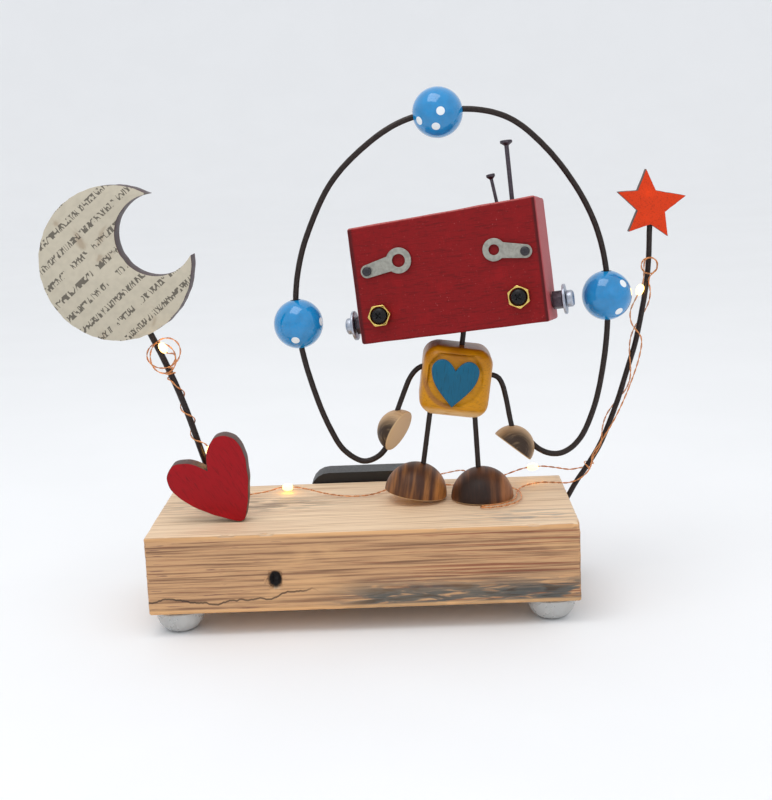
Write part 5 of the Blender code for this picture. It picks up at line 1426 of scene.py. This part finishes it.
class LAMP_OT_heart_and_star(Operator):
    """Cuts the red heart with its pin, and the orange star"""

    bl_idname = "lamp.heart_and_star"
    bl_label = "Heart and star"
    bl_options = {"REGISTER", "UNDO"}

    def execute(self, context):
        paint = context.scene.lamp_paint
        outline = closed_curve(mirrored_outline(RED_HEART_SIDE), 10, (0,))
        parts = painted_look("heart_paint", paint.heart, srgb(66, 14, 20), "y", 0.9, 0.5, 0.05, 0.1)
        bm = plate([roughened(outline, *HEART_CUT)], RED_HEART_THICK, 0.4)
        split_faces(bm)
        sides = plain_look("heart_edge", srgb(96, 66, 58), 0.6, variation=0.4, scale=0.5, depth=0.15)
        frame_of_heart = face_frame(RED_HEART_NOTCH, RED_HEART_LEAN)
        make_piece("painted_heart", bm, frame_of_heart, [finish_paint(parts), sides], ["red_heart"])
        way = PIN_WAY.normalized()
        top = frame_of_heart @ PIN_SPOT - way * PIN_IN_HEART
        steel = plain_look("pin_steel", srgb(74, 72, 76), 0.4, 0.85, 0.3, 1.4, 0.08)
        pin = tube(bmesh.new(), [top + way * (PIN_LENGTH * i / 8) for i in range(9)], PIN_RADIUS, 16)
        make_piece("pin_of_heart", pin, Matrix.Identity(4), [steel], ["heart_pin"], 60.0)
        parts = painted_look("star_paint", paint.star, srgb(112, 30, 16), "z", 0.5, 0.45, 0.1, 0.12)
        dense = []
        for first, second in zip(STAR_OUTLINE, STAR_OUTLINE[1:] + STAR_OUTLINE[:1]):
            dense += [tuple(Vector(first).lerp(Vector(second), i / 8)) for i in range(8)]
        bm = plate([roughened(dense, *STAR_CUT)], STAR_THICK, 0.25)
        split_faces(bm)
        make_piece("painted_star", bm, face_frame(STAR_CENTRE), [finish_paint(parts), sides], ["star"])
        return {"FINISHED"}


class LAMP_OT_battery_case(Operator):
    """Finishes the battery case, its cover, switch, tape and cells"""

    bl_idname = "lamp.battery_case"
    bl_label = "Battery case"
    bl_options = {"REGISTER", "UNDO"}

    def execute(self, context):
        plastic = plain_look("black_plastic", srgb(28, 28, 30), 0.45, variation=0.15, scale=2.2, depth=0.04)
        foam = plain_look("foam_tape", srgb(214, 212, 204), 0.9, variation=0.2, scale=1.8, depth=0.2)
        steel = plain_look("cell_steel", srgb(196, 198, 202), 0.25, 1.0, 0.15, 0.5, 0.02)
        finishes = {"case_plastic": plastic, "foam_tape": foam, "cell_steel": steel}
        for node, obj in frame["nodes"].items():
            slot = SLOT_OF.get(node)
            if slot in finishes:
                obj.data.materials.clear()
                obj.data.materials.append(finishes[slot])
        return {"FINISHED"}


OPERATORS = (
    LAMP_OT_stage, LAMP_OT_light_string, LAMP_OT_base, LAMP_OT_wires, LAMP_OT_feet_and_hands, LAMP_OT_torso,
    LAMP_OT_head, LAMP_OT_eyes, LAMP_OT_hardware, LAMP_OT_beads, LAMP_OT_moon, LAMP_OT_heart_and_star,
    LAMP_OT_battery_case,
)


class LAMP_PT_sidebar(Panel):
    """Settings and steps of the lamp"""

    bl_idname = "LAMP_PT_sidebar"
    bl_label = "Robot Lamp"
    bl_space_type = "VIEW_3D"
    bl_region_type = "UI"
    bl_category = "Robot Lamp"

    def draw(self, context):
        for name, group in SETTINGS.items():
            box = self.layout.box()
            box.label(text=name.replace("lamp_", "").capitalize())
            settings = getattr(context.scene, name)
            for setting in group.__annotations__:
                box.prop(settings, setting)
        for operator in OPERATORS:
            self.layout.operator(operator.bl_idname)


SETTINGS = {
    "lamp_wood": LAMP_PG_wood, "lamp_paint": LAMP_PG_paint, "lamp_wire": LAMP_PG_wire,
    "lamp_stage": LAMP_PG_stage,
}


def register():
    for cls in (*SETTINGS.values(), *OPERATORS, LAMP_PT_sidebar):
        bpy.utils.register_class(cls)
    for name, group in SETTINGS.items():
        setattr(bpy.types.Scene, name, PointerProperty(type=group))


def unregister():
    for name in SETTINGS:
        delattr(bpy.types.Scene, name)
    for cls in reversed((*SETTINGS.values(), *OPERATORS, LAMP_PT_sidebar)):
        bpy.utils.unregister_class(cls)


def main():
    register()
    for operator in OPERATORS:
        group, name = operator.bl_idname.split(".")
        getattr(getattr(bpy.ops, group), name)()


if __name__ == "__main__":
    main()
